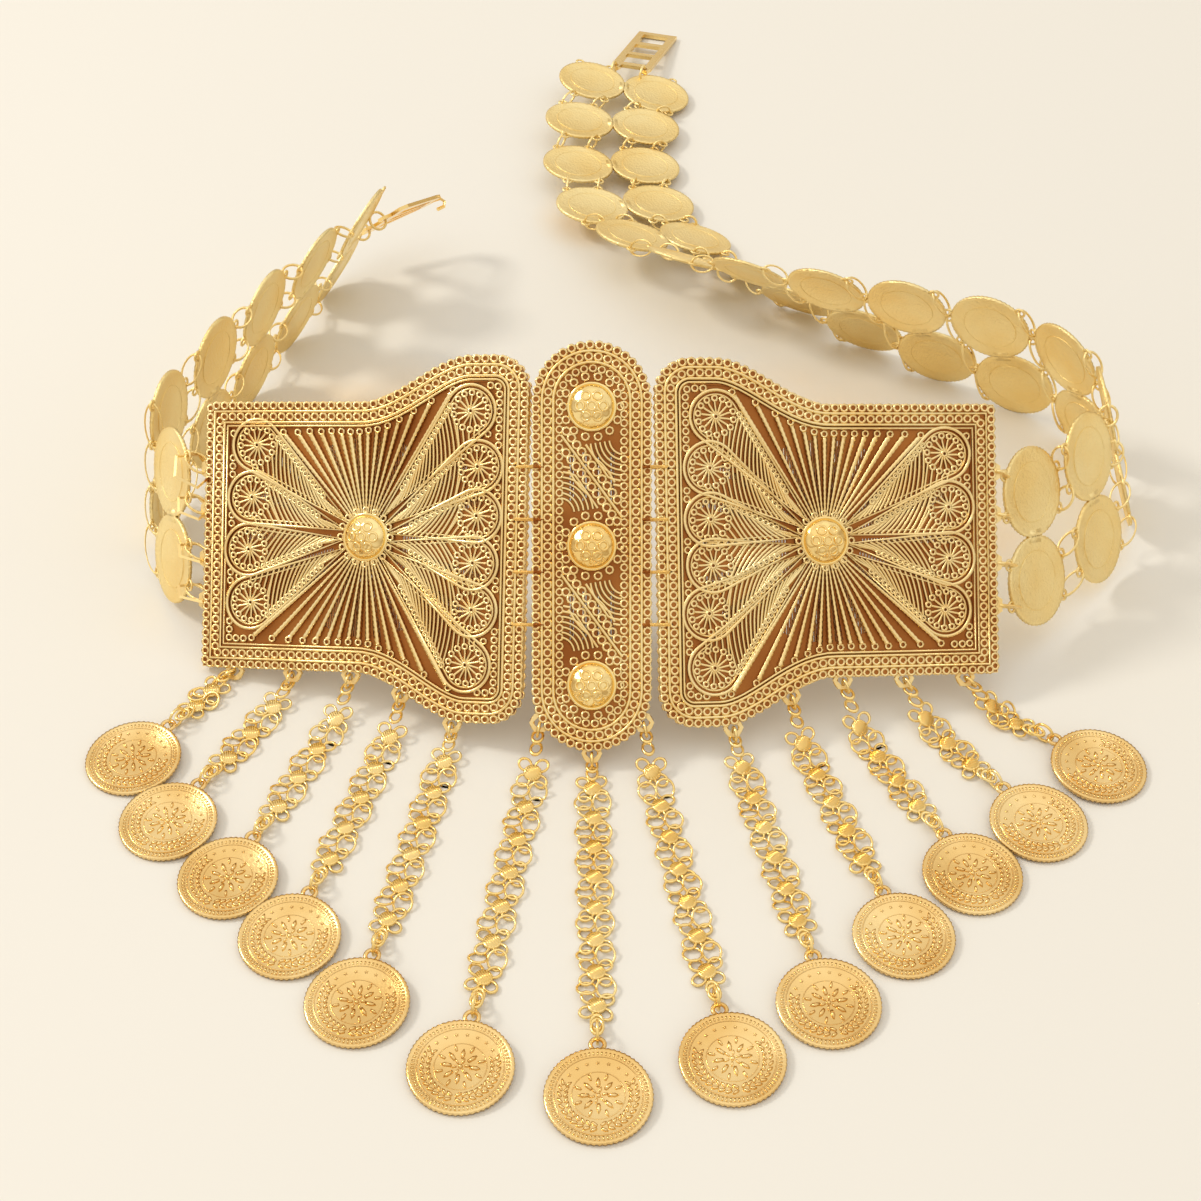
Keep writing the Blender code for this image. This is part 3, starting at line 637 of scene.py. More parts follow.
# Middles of the petals' heads: distance from the plate's inner end, and height.
SIDE_PETALS = {
    "left": (
        (68.1, 21.4), (69.1, 9.0), (69.7, -3.4), (68.9, -16.0),
        (13.9, 29.4), (11.9, 16.6), (11.9, 5.3), (12.6, -5.6), (12.6, -16.4), (13.9, -29.1),
    ),
    "right": (
        (68.9, 20.0), (69.7, 7.5), (69.7, -4.5), (68.5, -16.5),
        (14.0, 28.8), (12.4, 17.0), (12.4, 5.2), (12.8, -5.4), (11.7, -16.4), (12.8, -28.9),
    ),
}


def fan_limits(heads, sign):
    """First and last angle of the ropes between the outermost petals above or below the boss."""
    outer = min((h for h in heads if h[0] > BOSS_X), key=lambda h: -sign * h[1])
    inner = min((h for h in heads if h[0] < BOSS_X), key=lambda h: -sign * h[1])
    first = math.degrees(math.atan2(abs(outer[1]), outer[0] - BOSS_X)) + 11.5
    last = math.degrees(math.atan2(abs(inner[1]), inner[0] - BOSS_X)) - 9.5
    return sign, first, last


def fan_rope(work, sign, k, first, last):
    """Rope from the boss to a ring beside the rim."""
    angle = math.radians(first + (last - first) * k / (FAN_ROPES - 1.0))
    reach = 10.0
    while reach < 46.0:
        x, y = BOSS_X + reach * math.cos(angle), reach * math.sin(angle)
        if y > side_half_height(x) - 7.8 or x < 9.0 or x > SIDE_LENGTH - 9.0:
            break
        reach += 0.3

    def at(distance, lift):
        return (BOSS_X + distance * math.cos(angle), sign * distance * math.sin(angle), FIELD_Z + lift)

    lift = 0.2 - 0.1 * (k % 2)
    rope(work, at(5.0, lift), at(reach, lift), 0.30, 0.76)
    work.ring(*at(reach + 0.9, 0.0), 0.72, 0.28, 7)


def side_filigree(name):
    """Rim and field of a side plate's face, as two meshes."""
    work = Wirework(name + "_rim_wires", front(name))
    rim(work, side_edge, SIDE_RIM)
    rims = work.mesh()
    work = Wirework(name + "_field_wires", front(name))
    heads = SIDE_PETALS[name]
    for hx, hy in heads:
        out = math.atan2(hy, hx - BOSS_X)
        tip = (BOSS_X + PETAL_TIP_R * math.cos(out), PETAL_TIP_R * math.sin(out))
        petal(work, tip, (hx, hy))
    fans = [fan_limits(heads, sign) for sign in (1, -1)]
    for sign, first, last in fans:
        for k in range(FAN_ROPES):
            fan_rope(work, sign, k, first, last)

    def free(x, y, room):
        """Whether a small ring has room between the petals and the fans."""
        for hx, hy in heads:
            if math.hypot(x - hx, y - hy) < PETAL_R + room:
                return False
            length = math.hypot(hx - BOSS_X, hy)
            u = ((x - BOSS_X) * (hx - BOSS_X) + y * hy) / length
            v = abs((x - BOSS_X) * hy - y * (hx - BOSS_X)) / length
            if 0.0 < u < length and v < u * PETAL_R / length + room:
                return False
        angle = math.degrees(math.atan2(abs(y), x - BOSS_X))
        for sign, first, last in fans:
            within = sign * y > 0 and first - 1.5 < angle < last + 1.5
            if within and abs(y) < side_half_height(x) - 6.2:
                return False
        return math.hypot(x - BOSS_X, y) > 7.5

    # Third row of rings inside the rim, and small rings in every gap that is left.
    for x, y in walk(side_edge(6.9), 1.95):
        if free(x, y, 0.35):
            work.ring(x, y, FIELD_Z, 0.74, 0.3, 8)
    row = 0
    y = -SIDE_TALL_HALF
    while y < SIDE_TALL_HALF:
        x = 8.6 + (row % 2) * 0.95
        while x < SIDE_LENGTH - 8.2:
            if abs(y) < side_half_height(x) - 8.6 and free(x, y, 0.55):
                work.ring(x, y, FIELD_Z, 0.70, 0.28, 7)
            x += 1.9
        y += 1.7
        row += 1
    for angle in round_angles(16):
        x, y = BOSS_X + 6.3 * math.cos(angle), 6.3 * math.sin(angle)
        work.ring(x, y, FIELD_Z + 0.35, 0.72, 0.3, 7)
    return rims, work.mesh()


def painted_shade_strands(name):
    """Close-set dark strands low in the openwork: painted shade, warmed by reflected gold, seen through
    it as a shaded ground.
    """
    work = Wirework(name + "_lining", front(name))
    x, end = (-6.0, 6.0) if name == "centre" else (9.0, SIDE_LENGTH - 9.0)
    while x < end:
        half = CENTRE_SIZE[1] / 2.0 - 14.0 if name == "centre" else side_half_height(x) - 8.0
        work.wire([(x, -half, 0.0), (x, half, 0.0)], 0.27)
        x += 0.72
    return work.mesh()


def both_faces(mesh, plate):
    """Openwork that shows from behind as well: the same wires, mirrored through the plate's middle."""
    work = bmesh.new()
    work.from_mesh(mesh)
    place = front(plate)
    stamp(work, mesh, place @ stretched(1.0, 1.0, -1.0) @ place.inverted())
    return kept(work, mesh.name)


def clear_of_bosses(x, y):
    return min(math.hypot(x, y - c) for c in BOSS_Y) > 7.9


def slanting_rings(work, middle, across, down):
    """A plain wire from corner to corner between two bosses, with a row of rings on each side."""
    size = math.hypot(across, down)
    ux, uy = across / size, -down / size
    ends = [(-across, middle + down, FIELD_Z + 0.2), (across, middle - down, FIELD_Z + 0.2)]
    work.wire(ends, 0.42)
    for aside in (-1.5, 1.5):
        for k in range(-7, 8):
            along = k * 1.95
            x, y = ux * along - uy * aside, uy * along + ux * aside
            if abs(x) < 6.6 and clear_of_bosses(x, middle + y):
                work.ring(x, middle + y, FIELD_Z, 0.92, 0.34, 8)
    return ux, uy


def corner_strands(work, middle, sign, ux, uy):
    """Bent strands, one inside another, in the corner beside the slanting wire."""
    for k in range(11):
        reach = 3.6 + 1.2 * k
        arc = []
        for step in range(9):
            angle = math.radians(8.0 + 78.0 * step / 8.0)
            x = sign * (7.2 - reach * math.cos(angle) * 0.9)
            y = sign * (8.6 - reach * math.sin(angle))
            from_wire = abs(y * ux - x * uy)
            if from_wire > 2.7 and abs(x) < 7.2 and clear_of_bosses(x, middle + y):
                arc.append((x, middle + y, FIELD_Z))
        if len(arc) > 1:
            work.wire(arc, 0.36)


def centre_filigree():
    work = Wirework("centre_wires", front("centre"))
    rim(work, stadium_edge, CENTRE_RIM)
    for x, y in walk(stadium_edge(6.1), 2.05):
        work.ring(x, y, FIELD_Z, 0.8, 0.3, 8)
    for centre in BOSS_Y:
        for angle in round_angles(14):
            x, y = 7.0 * math.cos(angle) * 0.93, centre + 7.0 * math.sin(angle)
            work.ring(x, y, FIELD_Z + 0.05, 0.85, 0.3, 8)
    for middle in (BOSS_Y[0] / 2.0, BOSS_Y[2] / 2.0):
        ux, uy = slanting_rings(work, middle, 7.0, 9.4)
        for sign in (1, -1):
            corner_strands(work, middle, sign, ux, uy)
    return work.mesh()


for name in ("left", "right"):
    rims, field = side_filigree(name)
    piece(f"{name}_filigree_rim", both_faces(rims, name), "belt", WIRE_GOLD)
    piece(f"{name}_filigree_field", both_faces(field, name), "belt", WIRE_GOLD)
centre_wires = both_faces(centre_filigree(), "centre")
piece("centre_filigree", centre_wires, "belt", WIRE_GOLD)
# Dark strands under each plate's openwork, as painted shade.
for name in ("centre", "left", "right"):
    piece(name + "_lining", painted_shade_strands(name), "belt", PAINTED_SHADE_STRAND_GOLD)


def plate_gold(name):
    """Deep red-brown painted shade over the plate behind the wires, and bright gold on the rings and
    eyelets at the edge.
    """
    shader = Shader(name + " back gold")
    start, outward, up = FRAMES[name]
    middle = (start - LAYOUT_ZERO) * MM
    x, y = shader.along(middle, outward), abs(shader.along(middle, up))
    if name == "centre":
        straight = (CENTRE_SIZE[1] - CENTRE_SIZE[0]) / 2.0
        over = (y - straight) * ((y - straight) > 0.0)
        inside = (CENTRE_SIZE[0] / 2.0 - 0.2) > (x * x + over * over).root()
    else:
        t = ((x - FLARE_START) * (1.0 / (FLARE_END - FLARE_START))).clamp()
        half = SIDE_TALL_HALF - 0.2 - (SIDE_TALL_HALF - SIDE_LOW_HALF) * (t * t * (3.0 - 2.0 * t))
        inside = (half > y) * (x > 0.3) * (SIDE_LENGTH - 0.2 > x)
    patches = shader.ramp(shader.noise(60.0, 3.0), *PATCH_STOPS)
    deep, bright = (
        shader.mix(patches, (*tones[1], 1.0), (*tones[0], 1.0)) for tones in (PAINTED_SHADE_TONES, EDGE_TONES)
    )
    fine = shader.noise(1500.0, 2.0, 0.6)
    # The deep red-brown inside the edge is painted shade; the bright gold outside it is the plate's own.
    shader.set(Base_Color=shader.mix(inside, bright, deep), Metallic=1.0, Roughness=fine * 0.16 + 0.36)
    shader.bump(fine, 0.4, 0.0001)
    return shader.material


# Each plate gets its own gold, with painted shade behind its wires.
for name in ("centre", "left", "right"):
    paint(name + "_plate", plate_gold(name))


# Bosses


DOME_R = BOSS_D / 2.0 * 0.86
DOME_H = BOSS_H + 0.3
# Dents pressed in the dome: how many, distance from its top, size, and offset in steps.
DENTS = ((1, 0.0, 1.25, 0.0), (6, 2.05, 1.05, 0.0), (9, 3.75, 1.15, 0.5))
DENT_DEPTH = 0.22


def boss_mesh():
    """Round dome with facets pressed round its crown, in millimetres."""
    work = bmesh.new()
    bmesh.ops.create_uvsphere(work, u_segments=32, v_segments=20, radius=1.0)
    bmesh.ops.bisect_plane(
        work, geom=work.verts[:] + work.edges[:] + work.faces[:], plane_co=(0, 0, 0.08),
        plane_no=(0, 0, -1), clear_outer=True,
    )
    bmesh.ops.holes_fill(work, edges=[e for e in work.edges if e.is_boundary])
    bmesh.ops.scale(work, verts=work.verts, vec=(DOME_R, DOME_R, DOME_H))
    bmesh.ops.subdivide_edges(work, edges=work.edges[:], cuts=1, use_grid_fill=True)
    for vert in work.verts:
        for count, reach, size, offset in DENTS:
            for angle in round_angles(count, offset):
                x, y = reach * math.cos(angle), reach * math.sin(angle)
                away = math.hypot(vert.co.x - x, vert.co.y - y) / size
                if away < 1.0 and vert.co.z > 0.5:
                    vert.co.z -= DENT_DEPTH * (1.0 - away**2)
    bmesh.ops.recalc_face_normals(work, faces=work.faces)
    return kept(work)


BOSS_SHAPE = boss_mesh()
BOSS_COLLAR = kept(spun_ring(40, 8, 0.42, 5.35))
BOSS_RING = kept(spun_ring(24, 8, 0.3, 1.0))
places = [("centre", f"boss_centre_{k + 1}", 0.0, y) for k, y in enumerate(BOSS_Y)]
places += [("left", "boss_left", BOSS_X, 0.0), ("right", "boss_right", BOSS_X, 0.0)]
for plate, name, x, y in places:
    start, outward, up = FRAMES[plate]
    facing = outward.cross(up) if plate != "left" else up.cross(outward)
    seat = start + outward * x + up * y + facing * (PLATE_T / 2.0 + BOSS_GAP)
    matrix = frame_matrix(seat, up.cross(facing), up)
    work = bmesh.new()
    stamp(work, BOSS_SHAPE, matrix)
    stamp(work, BOSS_COLLAR, matrix @ moved(0.0, 0.0, 0.35))
    # One ring on the top of the dome and six round it.
    for away, angle in [(2.75, angle) for angle in round_angles(6)] + [(0.0, 0.0)]:
        tall = DOME_H * math.sqrt(1.0 - (away / DOME_R) ** 2)
        slope = math.atan2(away * DOME_H**2, tall * DOME_R**2)
        spot = turned_by(angle) @ moved(away, 0.0, tall - 0.12)
        stamp(work, BOSS_RING, matrix @ spot @ turned_by(slope, "Y"))
    piece(name + "_dome", kept(work, name), "belt", BOSS_GOLD, replaced=(name,))


# Links of the band


def milled_disc(radius, thickness, teeth, rim_width, rim_drop):
    """Coin blank with a milled edge and a rim on both faces, in millimetres."""
    work = bmesh.new()
    bmesh.ops.create_circle(work, segments=teeth * 2, radius=radius, cap_ends=True)
    for k, vert in enumerate(work.verts):
        if k % 2:
            vert.co *= 1.0 - 0.22 / radius
    face = work.faces[:]
    made = bmesh.ops.extrude_face_region(work, geom=face)
    top = [v for v in made["geom"] if isinstance(v, bmesh.types.BMVert)]
    bmesh.ops.translate(work, verts=top, vec=(0.0, 0.0, thickness))
    bmesh.ops.translate(work, verts=work.verts, vec=(0.0, 0.0, -thickness / 2.0))
    bmesh.ops.recalc_face_normals(work, faces=work.faces)
    caps = [f for f in work.faces if len(f.verts) > 6]
    bmesh.ops.inset_individual(work, faces=caps, thickness=rim_width * 0.7, depth=0.0)
    bmesh.ops.inset_individual(work, faces=caps, thickness=rim_width * 0.3, depth=-rim_drop)
    return work


def link_shape():
    """Two milled coins fused one above the other, with an engraved circle on each."""
    disc = kept(milled_disc(COIN_D / 2.0, 0.9, 54, 0.9, 0.12))
    work = bmesh.new()
    engraved = kept(spun_ring(48, 4, 0.13, 7.2))
    for sign in (1, -1):
        stamp(work, disc, moved(0.0, sign * LINK_STEP / 2.0, 0.0))
        for face in (0.34, -0.34):
            stamp(work, engraved, moved(0.0, sign * LINK_STEP / 2.0, face))
    stamp(work, kept(cube()), stretched(4.4, 3.2, 0.8))
    return kept(work)


LINK_SHAPE = link_shape()
EYE = kept(spun_ring(14, 6, 0.34, 1.25))


def wire_ring(work, centre, out, axis, radius, wire):
    """Round ring of wire through the piece under way."""
    shape = kept(spun_ring(20, 6, wire, radius))
    stamp(work, shape, frame_matrix(centre, out, out.cross(axis)))
    bpy.data.meshes.remove(shape)


def joining_ring(work, fixed, hole, normal):
    """Ring from a fixed point of one link through an ear of the next."""
    back = fixed - hole
    radius = max(2.2, back.length / 2.0 + 0.5)
    shape = kept(spun_ring(18, 6, 0.40, radius))
    across = back.cross(normal)
    oval = stretched(1.0, min(1.0, 2.35 / radius), 1.0)
    stamp(work, shape, frame_matrix((fixed + hole) / 2.0, back, across.cross(back)) @ oval)
    bpy.data.meshes.remove(shape)


def clasp_rings(side):
    """Direction of a clasp, its hinge axis, and the middles of the two rings that hold it."""
    middle, along = BANDS[side][-1][:2]
    if side == "right":
        length = CLASP_RING_R + LADDER_SIZE[0] + 1.4
        drop = math.asin((middle.z - LADDER_T / 2.0 - FLOOR_CLEAR) / length)
        heading = turn(LADDER_HEADING) * math.cos(drop) - UP * math.sin(drop)
        axis = heading.cross(UP).normalized()
        sink = CLASP_RING_SINK
        pivot = middle + along * (RING_FIX_X - sink) + turn(LADDER_HEADING) * CLASP_RING_R
    else:
        heading, axis = link_frame(*HOOK_POSE)[:2]
        pivot = middle + along * RING_FIX_X + heading * CLASP_RING_R
    return heading, axis, [pivot + axis * y for y in (-CLASP_EAR_Y, CLASP_EAR_Y)]


for side in ("left", "right"):
    start, outward, up = FRAMES[side]
    anchors = [start + outward * (SIDE_LENGTH + 0.6) + up * h for h in EAR_HEIGHTS]
    for number, (middle, along, tall, out) in enumerate(BANDS[side], start=1):
        matrix = frame_matrix(middle, along, tall)
        work = bmesh.new()
        stamp(work, LINK_SHAPE, matrix)
        for sign in (1, -1):
            for h in EAR_HEIGHTS:
                x = math.sqrt((COIN_D / 2.0) ** 2 - (abs(h) - LINK_STEP / 2.0) ** 2) + 0.55
                stamp(work, EYE, matrix @ moved(sign * x, h, 0.0))
        for k, h in enumerate(EAR_HEIGHTS):
            joining_ring(work, anchors[k], middle - along * (EAR_X + 0.35) + tall * h, out)
        if number == len(BANDS[side]):
            heading, axis, centres = clasp_rings(side)
            for centre in centres:
                wire_ring(work, centre, heading, axis, CLASP_RING_R, 0.38)
        node = f"band_{side}_{number:02d}"
        piece(node + "_link", kept(work, node), "belt", LINK_GOLD, replaced=(node,))
        anchors = [middle + along * (RING_FIX_X + 1.7) + tall * h for h in EAR_HEIGHTS]


# Pendant chains


STUD_R = 2.15
STUD_GROOVES = 7
GROOVE_STEP = 0.5
LOOP_R = 1.55
LOOP_X = 2.75


def flower_shape():
    """Round stud with slanting ridges in a square of four wire loops, in millimetres."""
    work = bmesh.new()
    bmesh.ops.create_cone(
        work, cap_ends=True, segments=20, radius1=STUD_R, radius2=STUD_R - 0.2, depth=0.5
    )
    bmesh.ops.translate(work, verts=work.verts, vec=(0.0, 0.0, 0.35))
    top = max(work.faces, key=lambda f: f.calc_center_median().z)
    bmesh.ops.inset_individual(work, faces=[top], thickness=0.25, depth=0.08)
    ridge = cube()
    bmesh.ops.scale(ridge, verts=ridge.verts, vec=(1.0, 0.26, 0.22))
    ridge = kept(ridge)
    for k in range(STUD_GROOVES):
        y = (k - STUD_GROOVES // 2) * GROOVE_STEP
        half = math.sqrt((STUD_R - 0.4) ** 2 - y * y)
        place = turned_by(math.radians(38.0)) @ moved(0.0, y, 0.72)
        stamp(work, ridge, place @ stretched(2.0 * half, 1.0, 1.0))
    loop = kept(spun_ring(14, 6, 0.36, LOOP_R))
    for k in range(4):
        place = turned_by(math.radians(45.0 + 90.0 * k)) @ moved(LOOP_X, 0.0, 0.15)
        stamp(work, loop, place @ stretched(1.0, 0.88, 1.0))
    return kept(work)


FLOWER_SHAPE = flower_shape()
JUMP = kept(spun_ring(14, 6, 0.3, 2.05))
EYELET = kept(spun_ring(18, 6, 0.62, 1.75))
CHAIN_LEAD = 2.6
FALL_RUN = 13.0
RISE_RUN = 6.5


def eyelet_place(plate, x):
    """Middle of an eyelet on a plate's lower edge, with the plate's directions."""
    start, outward, up = FRAMES[plate]
    if plate == "centre":
        width, height = CENTRE_SIZE
        reach = width / 2.0 + (0.7 if x == 0.0 else 0.4)
        point = start + outward * x - up * (height / 2.0 - width / 2.0 + math.sqrt(reach**2 - x**2))
    else:
        point = start + outward * x - up * (side_half_height(x) + 0.9)
    return point, outward, up


rng = random.Random(7)
coin_places = []
for number, (plate, x, flowers, (coin_x, coin_y)) in enumerate(PENDANTS, start=1):
    point, outward, up = eyelet_place(plate, x)
    normal = outward.cross(up) if plate != "left" else up.cross(outward)
    away = Vector((coin_x - point.x, coin_y - point.y, 0.0)).normalized()
    side_dir = UP.cross(away)
    sink = math.asin((END_RING_Z - COIN_T / 2.0 - FLOOR_CLEAR) / (COIN_ARM + COIN_D / 2.0))
    coin_dir = away * math.cos(sink) - UP * math.sin(sink)
    pivot = Vector((coin_x, coin_y, 0.0)) - away * COIN_ARM * math.cos(sink) + UP * END_RING_Z
    coin_places.append((pivot, coin_dir, side_dir))
    # The top ring hangs half way between the chain's direction and the plate's own slope.
    drop = min(0.3, max(-0.6, (point.z - TOP_RING_LOW_Z) / TOP_RING_R))
    hang = away * math.sqrt(1.0 - drop * drop) - UP * drop
    in_plate = (hang - normal * hang.dot(normal)).normalized()
    hang = (hang + in_plate).normalized()
    work = bmesh.new()
    stamp(work, EYELET, frame_matrix(point, outward, up) @ stretched(1.0, 1.0, 0.7))
    wire_ring(work, point + hang * TOP_RING_R, hang, hang.cross(normal), TOP_RING_R + 0.1, 0.36)
    wire_ring(work, pivot, away, away.cross(UP), END_RING_R + 0.15, 0.36)
    first = point + hang * (2.0 * TOP_RING_R) - away * 0.9
    last = pivot - away * (END_RING_R - 0.9)
    level = Vector((last.x - first.x, last.y - first.y, 0.0))
    length = level.length
    pitch = (length - 2.0 * CHAIN_LEAD) / flowers

    def spot(distance, across=0.0, lift=0.0):
        """Place along the chain: down from the plate, flat on the surface, and up to the end ring."""
        fall = 1.0 - min(1.0, distance / FALL_RUN)
        rise = max(0.0, (distance - length + RISE_RUN) / RISE_RUN)
        z = CHAIN_Z + (first.z - CHAIN_Z) * fall**2 + (END_RING_Z - 0.5 - CHAIN_Z) * rise * rise
        place = Vector((first.x, first.y, 0.0)) + level * (distance / length) + side_dir * across
        place.z = max(z, CHAIN_Z) + lift
        return place

    for k in range(flowers):
        mid = CHAIN_LEAD + pitch * (k + 0.5)
        ahead = spot(mid + 2.0) - spot(mid - 2.0)
        roll, yaw = rng.uniform(-0.10, 0.10), rng.uniform(-0.12, 0.12)
        place = frame_matrix(spot(mid), ahead, side_dir)
        stamp(work, FLOWER_SHAPE, place @ turned_by(roll, "X") @ turned_by(yaw))
        if k == flowers - 1:
            continue
        for sign in (1, -1):
            place = frame_matrix(spot(mid + pitch / 2.0, sign * 2.05, 0.45), ahead, side_dir)
            lean = turned_by(sign * rng.uniform(0.15, 0.5), "Y")
            stamp(work, JUMP, place @ lean @ stretched(1.12, 1.0, 1.0))
    for distance in (0.6, 2.7, length - 2.2, length - 0.6):
        place = frame_matrix(spot(distance, 0.0, 0.2), level, side_dir)
        stamp(work, EYE, place @ stretched(1.5, 1.0, 1.0))
    # What would dip under the surface is laid on it.
    for vert in work.verts:
        vert.co.z = max(vert.co.z, FLOOR_CLEAR * MM)
    node = f"chain_{number:02d}"
    piece(node + "_flowers", kept(work, node), "belt", CHAIN_GOLD, replaced=(node,))


# Pendant coins


def bead_shape():
    work = bmesh.new()
    bmesh.ops.create_icosphere(work, subdivisions=1, radius=1.0)
    return kept(work)


def star_shape():
    """Low five-pointed star."""
    work = bmesh.new()
    bmesh.ops.create_cone(work, cap_ends=True, segments=10, radius1=0.62, radius2=0.05, depth=0.34)
    for k, vert in enumerate(v for v in work.verts if v.co.z < 0.0):
        if k % 2:
            vert.co.x *= 0.45
            vert.co.y *= 0.45
    return kept(work)


def leaf_shape():
    """Low leaf that narrows towards its tip."""
    work = bmesh.new()
    bmesh.ops.create_icosphere(work, subdivisions=1, radius=1.0)
    for vert in work.verts:
        vert.co.y *= 0.42 * (1.0 - 0.55 * max(0.0, vert.co.x))
        vert.co.z *= 0.22
    return kept(work)


FACE_Z = 0.31
TICKS = 72
STARS = 9
# Circles of the face: radius, wire and sides.
CIRCLES = ((8.85, 0.15, 64), (5.35, 0.12, 40))
# Rows of the wreath: distance from the coin's middle, and lean of the leaves.
WREATH = ((7.75, 0.55), (6.45, -0.55))
# Rings of the rosette: leaves, distance from the middle, size, and first angle.
ROSETTE = ((8, 2.9, 1.35, 0.0), (8, 4.35, 0.95, math.pi / 8), (6, 1.35, 0.75, 0.2))


def coin_face():
    """Raised work of one face: ticks and stars round the edge, a leaf wreath and a rosette."""
    face = bmesh.new()
    tick, star, leaf = kept(cube()), star_shape(), leaf_shape()

    def at(reach, angle, lift):
        return moved(reach * math.cos(angle), reach * math.sin(angle), FACE_Z + lift)

    for angle in round_angles(TICKS):
        place = turned_by(angle) @ moved(9.6, 0.0, FACE_Z + 0.02)
        stamp(face, tick, place @ stretched(0.75, 0.34, 0.22))
    for radius, wire, sides in CIRCLES:
        stamp(face, kept(spun_ring(sides, 4, wire, radius)), moved(0.0, 0.0, FACE_Z))
    for k in range(STARS):
        angle = math.radians(90.0 + (k - STARS // 2) * 17.0)
        stamp(face, star, at(7.4, angle, 0.1) @ turned_by(angle))
    for sign in (1, -1):
        for k in range(11):
            angle = math.radians(-90.0 + sign * (8.0 + 10.6 * k))
            for reach, lean in WREATH:
                heading = turned_by(angle + sign * (math.pi / 2.0 - lean))
                stamp(face, leaf, at(reach, angle, 0.05) @ heading @ stretched(0.92, 1.0, 1.0))
    for count, reach, size, first in ROSETTE:
        for angle in round_angles(count):
            place = at(reach, first + angle, 0.08) @ turned_by(first + angle)
            stamp(face, leaf, place @ stretched(size, size, 1.4))
    stamp(face, bead_shape(), moved(0.0, 0.0, FACE_Z + 0.05) @ stretched(0.6, 0.6, 0.35))
    return kept(face)


def coin_shape():
    """Struck coin with a milled edge and the same work on both faces."""
    work = milled_disc(COIN_D / 2.0, 0.9, 60, 0.8, 0.14)
    face = coin_face()
    for turn_over in (0.0, math.pi):
        stamp(work, face, turned_by(turn_over, "X"))
    return kept(work)


COIN_SHAPE = coin_shape()
COIN_EAR = kept(spun_ring(18, 6, 0.5, 1.45))
for number, (pivot, coin_dir, side_dir) in enumerate(coin_places, start=1):
    matrix = frame_matrix(pivot, coin_dir, side_dir)
    work = bmesh.new()
    stamp(work, COIN_SHAPE, matrix @ moved(COIN_ARM, 0.0, 0.0) @ turned_by(math.pi / 2.0))
    stamp(work, COIN_EAR, matrix @ moved(END_RING_R + 0.75, 0.0, 0.0) @ stretched(1.0, 1.0, 0.8))
    node = f"coin_{number:02d}"
    body = node + "_pendant"
    piece(node + "_struck", kept(work, node), body, COIN_GOLD, replaced=(node,))


# Clasps

for name in ("ladder_clasp", "hook_clasp"):
    paint(name, CLASP_GOLD)


# Surface, light and camera

# Warm reflections on the surface: middle, and how far each reaches.
GLOWS = (((-62.0, 75.0), 34.0), ((52.0, 66.0), 40.0), ((95.0, 30.0), 22.0), ((-2.0, 178.0), 20.0))


def surface_material():
    """Pale matt surface, tinted in streaks where the belt throws light on it."""
    shader = Shader("pale surface")
    cloud_stops = ((0.3, (0.785, 0.765, 0.715)), (0.7, (0.805, 0.785, 0.735)))
    cloud = shader.ramp(shader.noise(2.2, 2.0), *cloud_stops)
    streaks = shader.ramp(shader.noise(26.0, 3.0, 0.6), (0.42, (0, 0, 0)), (0.62, (1, 1, 1)))
    glow = 0.0
    for (x, y), reach in GLOWS:
        middle = (Vector((x, y, 0.0)) - LAYOUT_ZERO) * MM
        across = shader.along(middle, (1.0, 0.0, 0.0))
        deep = shader.along(middle, (0.0, 1.0, 0.0))
        glow = (1.0 - (across * across + deep * deep).root() * (1.0 / reach)).clamp() + glow
    tint = (glow * (streaks * 0.5 + 0.5)).clamp() * 0.75
    shader.set(Base_Color=shader.mix(tint, cloud, (0.88, 0.66, 0.38, 1.0)), Roughness=0.5)
    return shader.material


def shown(name, data):
    obj = bpy.data.objects.new(name, data)
    bpy.context.scene.collection.objects.link(obj)
    return obj


def area_light(name, size, energy, color, location):
    """Square light that shines straight down until it is turned."""
    light = bpy.data.lights.new(name, "AREA")
    light.size, light.energy, light.color = size, energy, color
    obj = shown(name, light)
    obj.location = location
    return obj


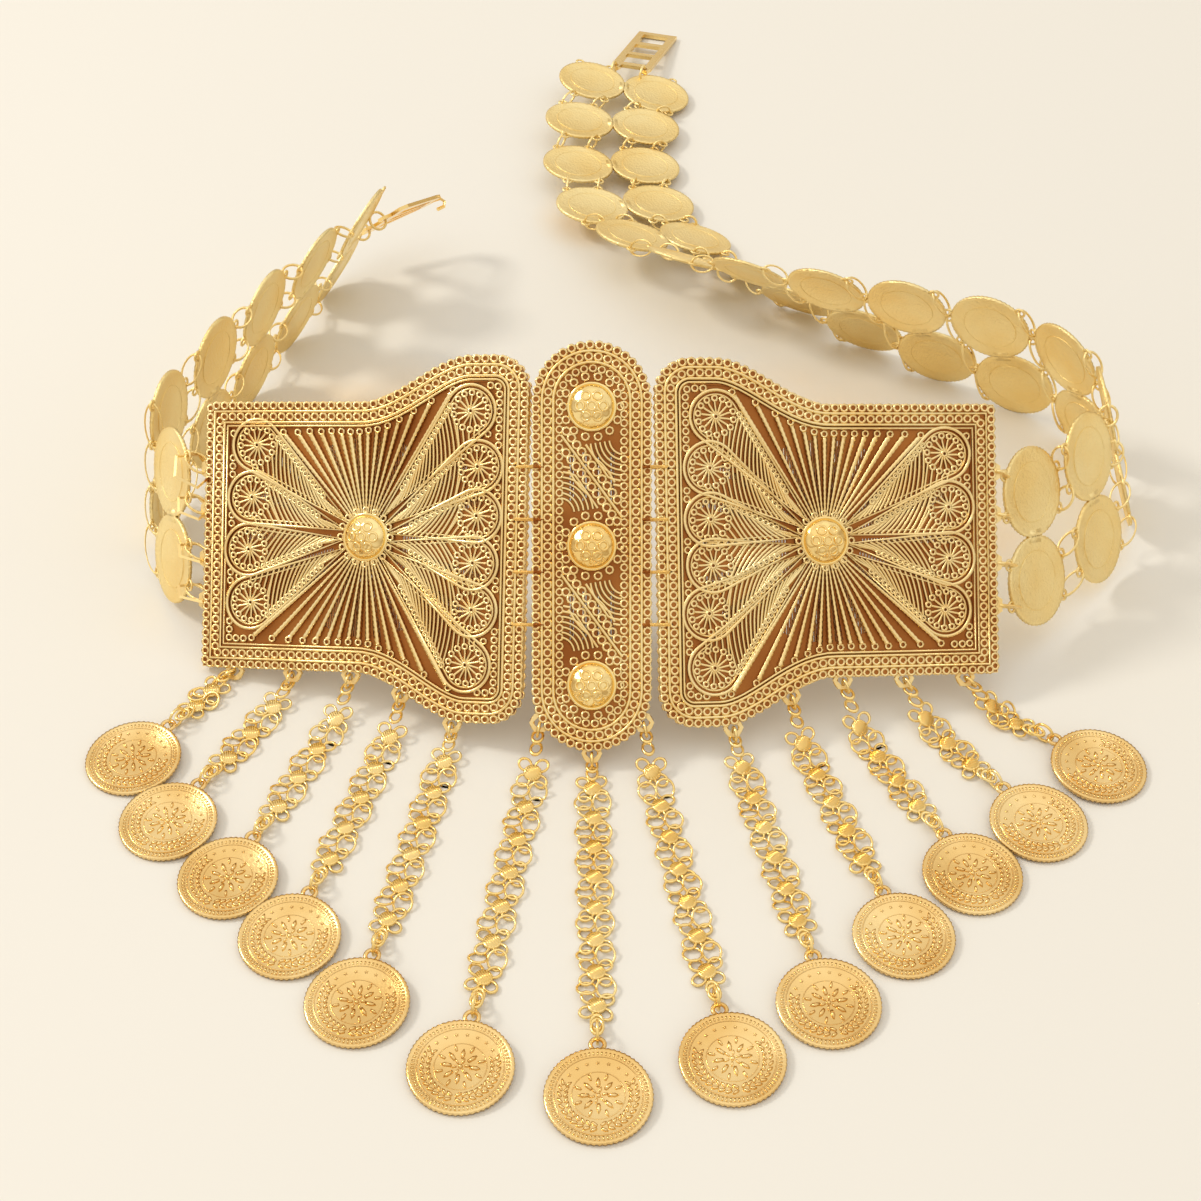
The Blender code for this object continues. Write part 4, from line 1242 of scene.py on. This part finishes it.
floor_work = bmesh.new()
bmesh.ops.create_grid(floor_work, x_segments=8, y_segments=8, size=3.0)
floor = shown("surface", kept(floor_work, "surface"))
floor.data.materials.append(surface_material())

window = area_light("window", 0.45, 15.0, (1.0, 0.95, 0.86), (-1.45, 0.35, 1.45))
window.data.shape = "DISK"
window.rotation_euler = (-window.location).to_track_quat("-Z", "Y").to_euler()
area_light("overhead", 2.2, 3.0, (1.0, 0.97, 0.92), (0.2, -0.2, 2.2))

# A room that is bright above and brown near the horizon.
SKY_STOPS = ((0.50, (0.50, 0.36, 0.20)), (0.74, (1.0, 0.95, 0.87)))
world = bpy.data.worlds.new("room")
bpy.context.scene.world = world
world.use_nodes = True
tree = world.node_tree
tree.nodes.clear()
output = tree.nodes.new("ShaderNodeOutputWorld")
background = tree.nodes.new("ShaderNodeBackground")
background.inputs["Strength"].default_value = 0.92
ramp = tree.nodes.new("ShaderNodeValToRGB")
for element, (at, color) in zip(ramp.color_ramp.elements, SKY_STOPS):
    element.position, element.color = at, (*color, 1.0)
place = tree.nodes.new("ShaderNodeTexCoord")
split = tree.nodes.new("ShaderNodeSeparateXYZ")
height = tree.nodes.new("ShaderNodeMath")
height.operation = "MULTIPLY_ADD"
height.inputs[1].default_value = 0.5
height.inputs[2].default_value = 0.5
tree.links.new(place.outputs["Generated"], split.inputs[0])
tree.links.new(split.outputs["Z"], height.inputs[0])
tree.links.new(height.outputs[0], ramp.inputs[0])
tree.links.new(ramp.outputs["Color"], background.inputs["Color"])
tree.links.new(background.outputs[0], output.inputs["Surface"])

# The photograph's frame is 1201 pixels wide, and its view has a focal length of 2250 pixels.
SENSOR = 36.0
camera = bpy.data.cameras.new("camera")
camera.sensor_width = SENSOR
camera.lens = SENSOR * 2250.0 / 1201.0
camera.clip_start = 0.01
eye = shown("camera", camera)
eye.location = (Vector((0.0, -419.0, 370.7)) - LAYOUT_ZERO) * MM
eye.rotation_euler = (math.radians(90.0 - 41.5), 0.0, 0.0)
bpy.context.scene.camera = eye
bpy.context.scene.view_settings.view_transform = "Standard"
bpy.context.scene.view_settings.look = "None"
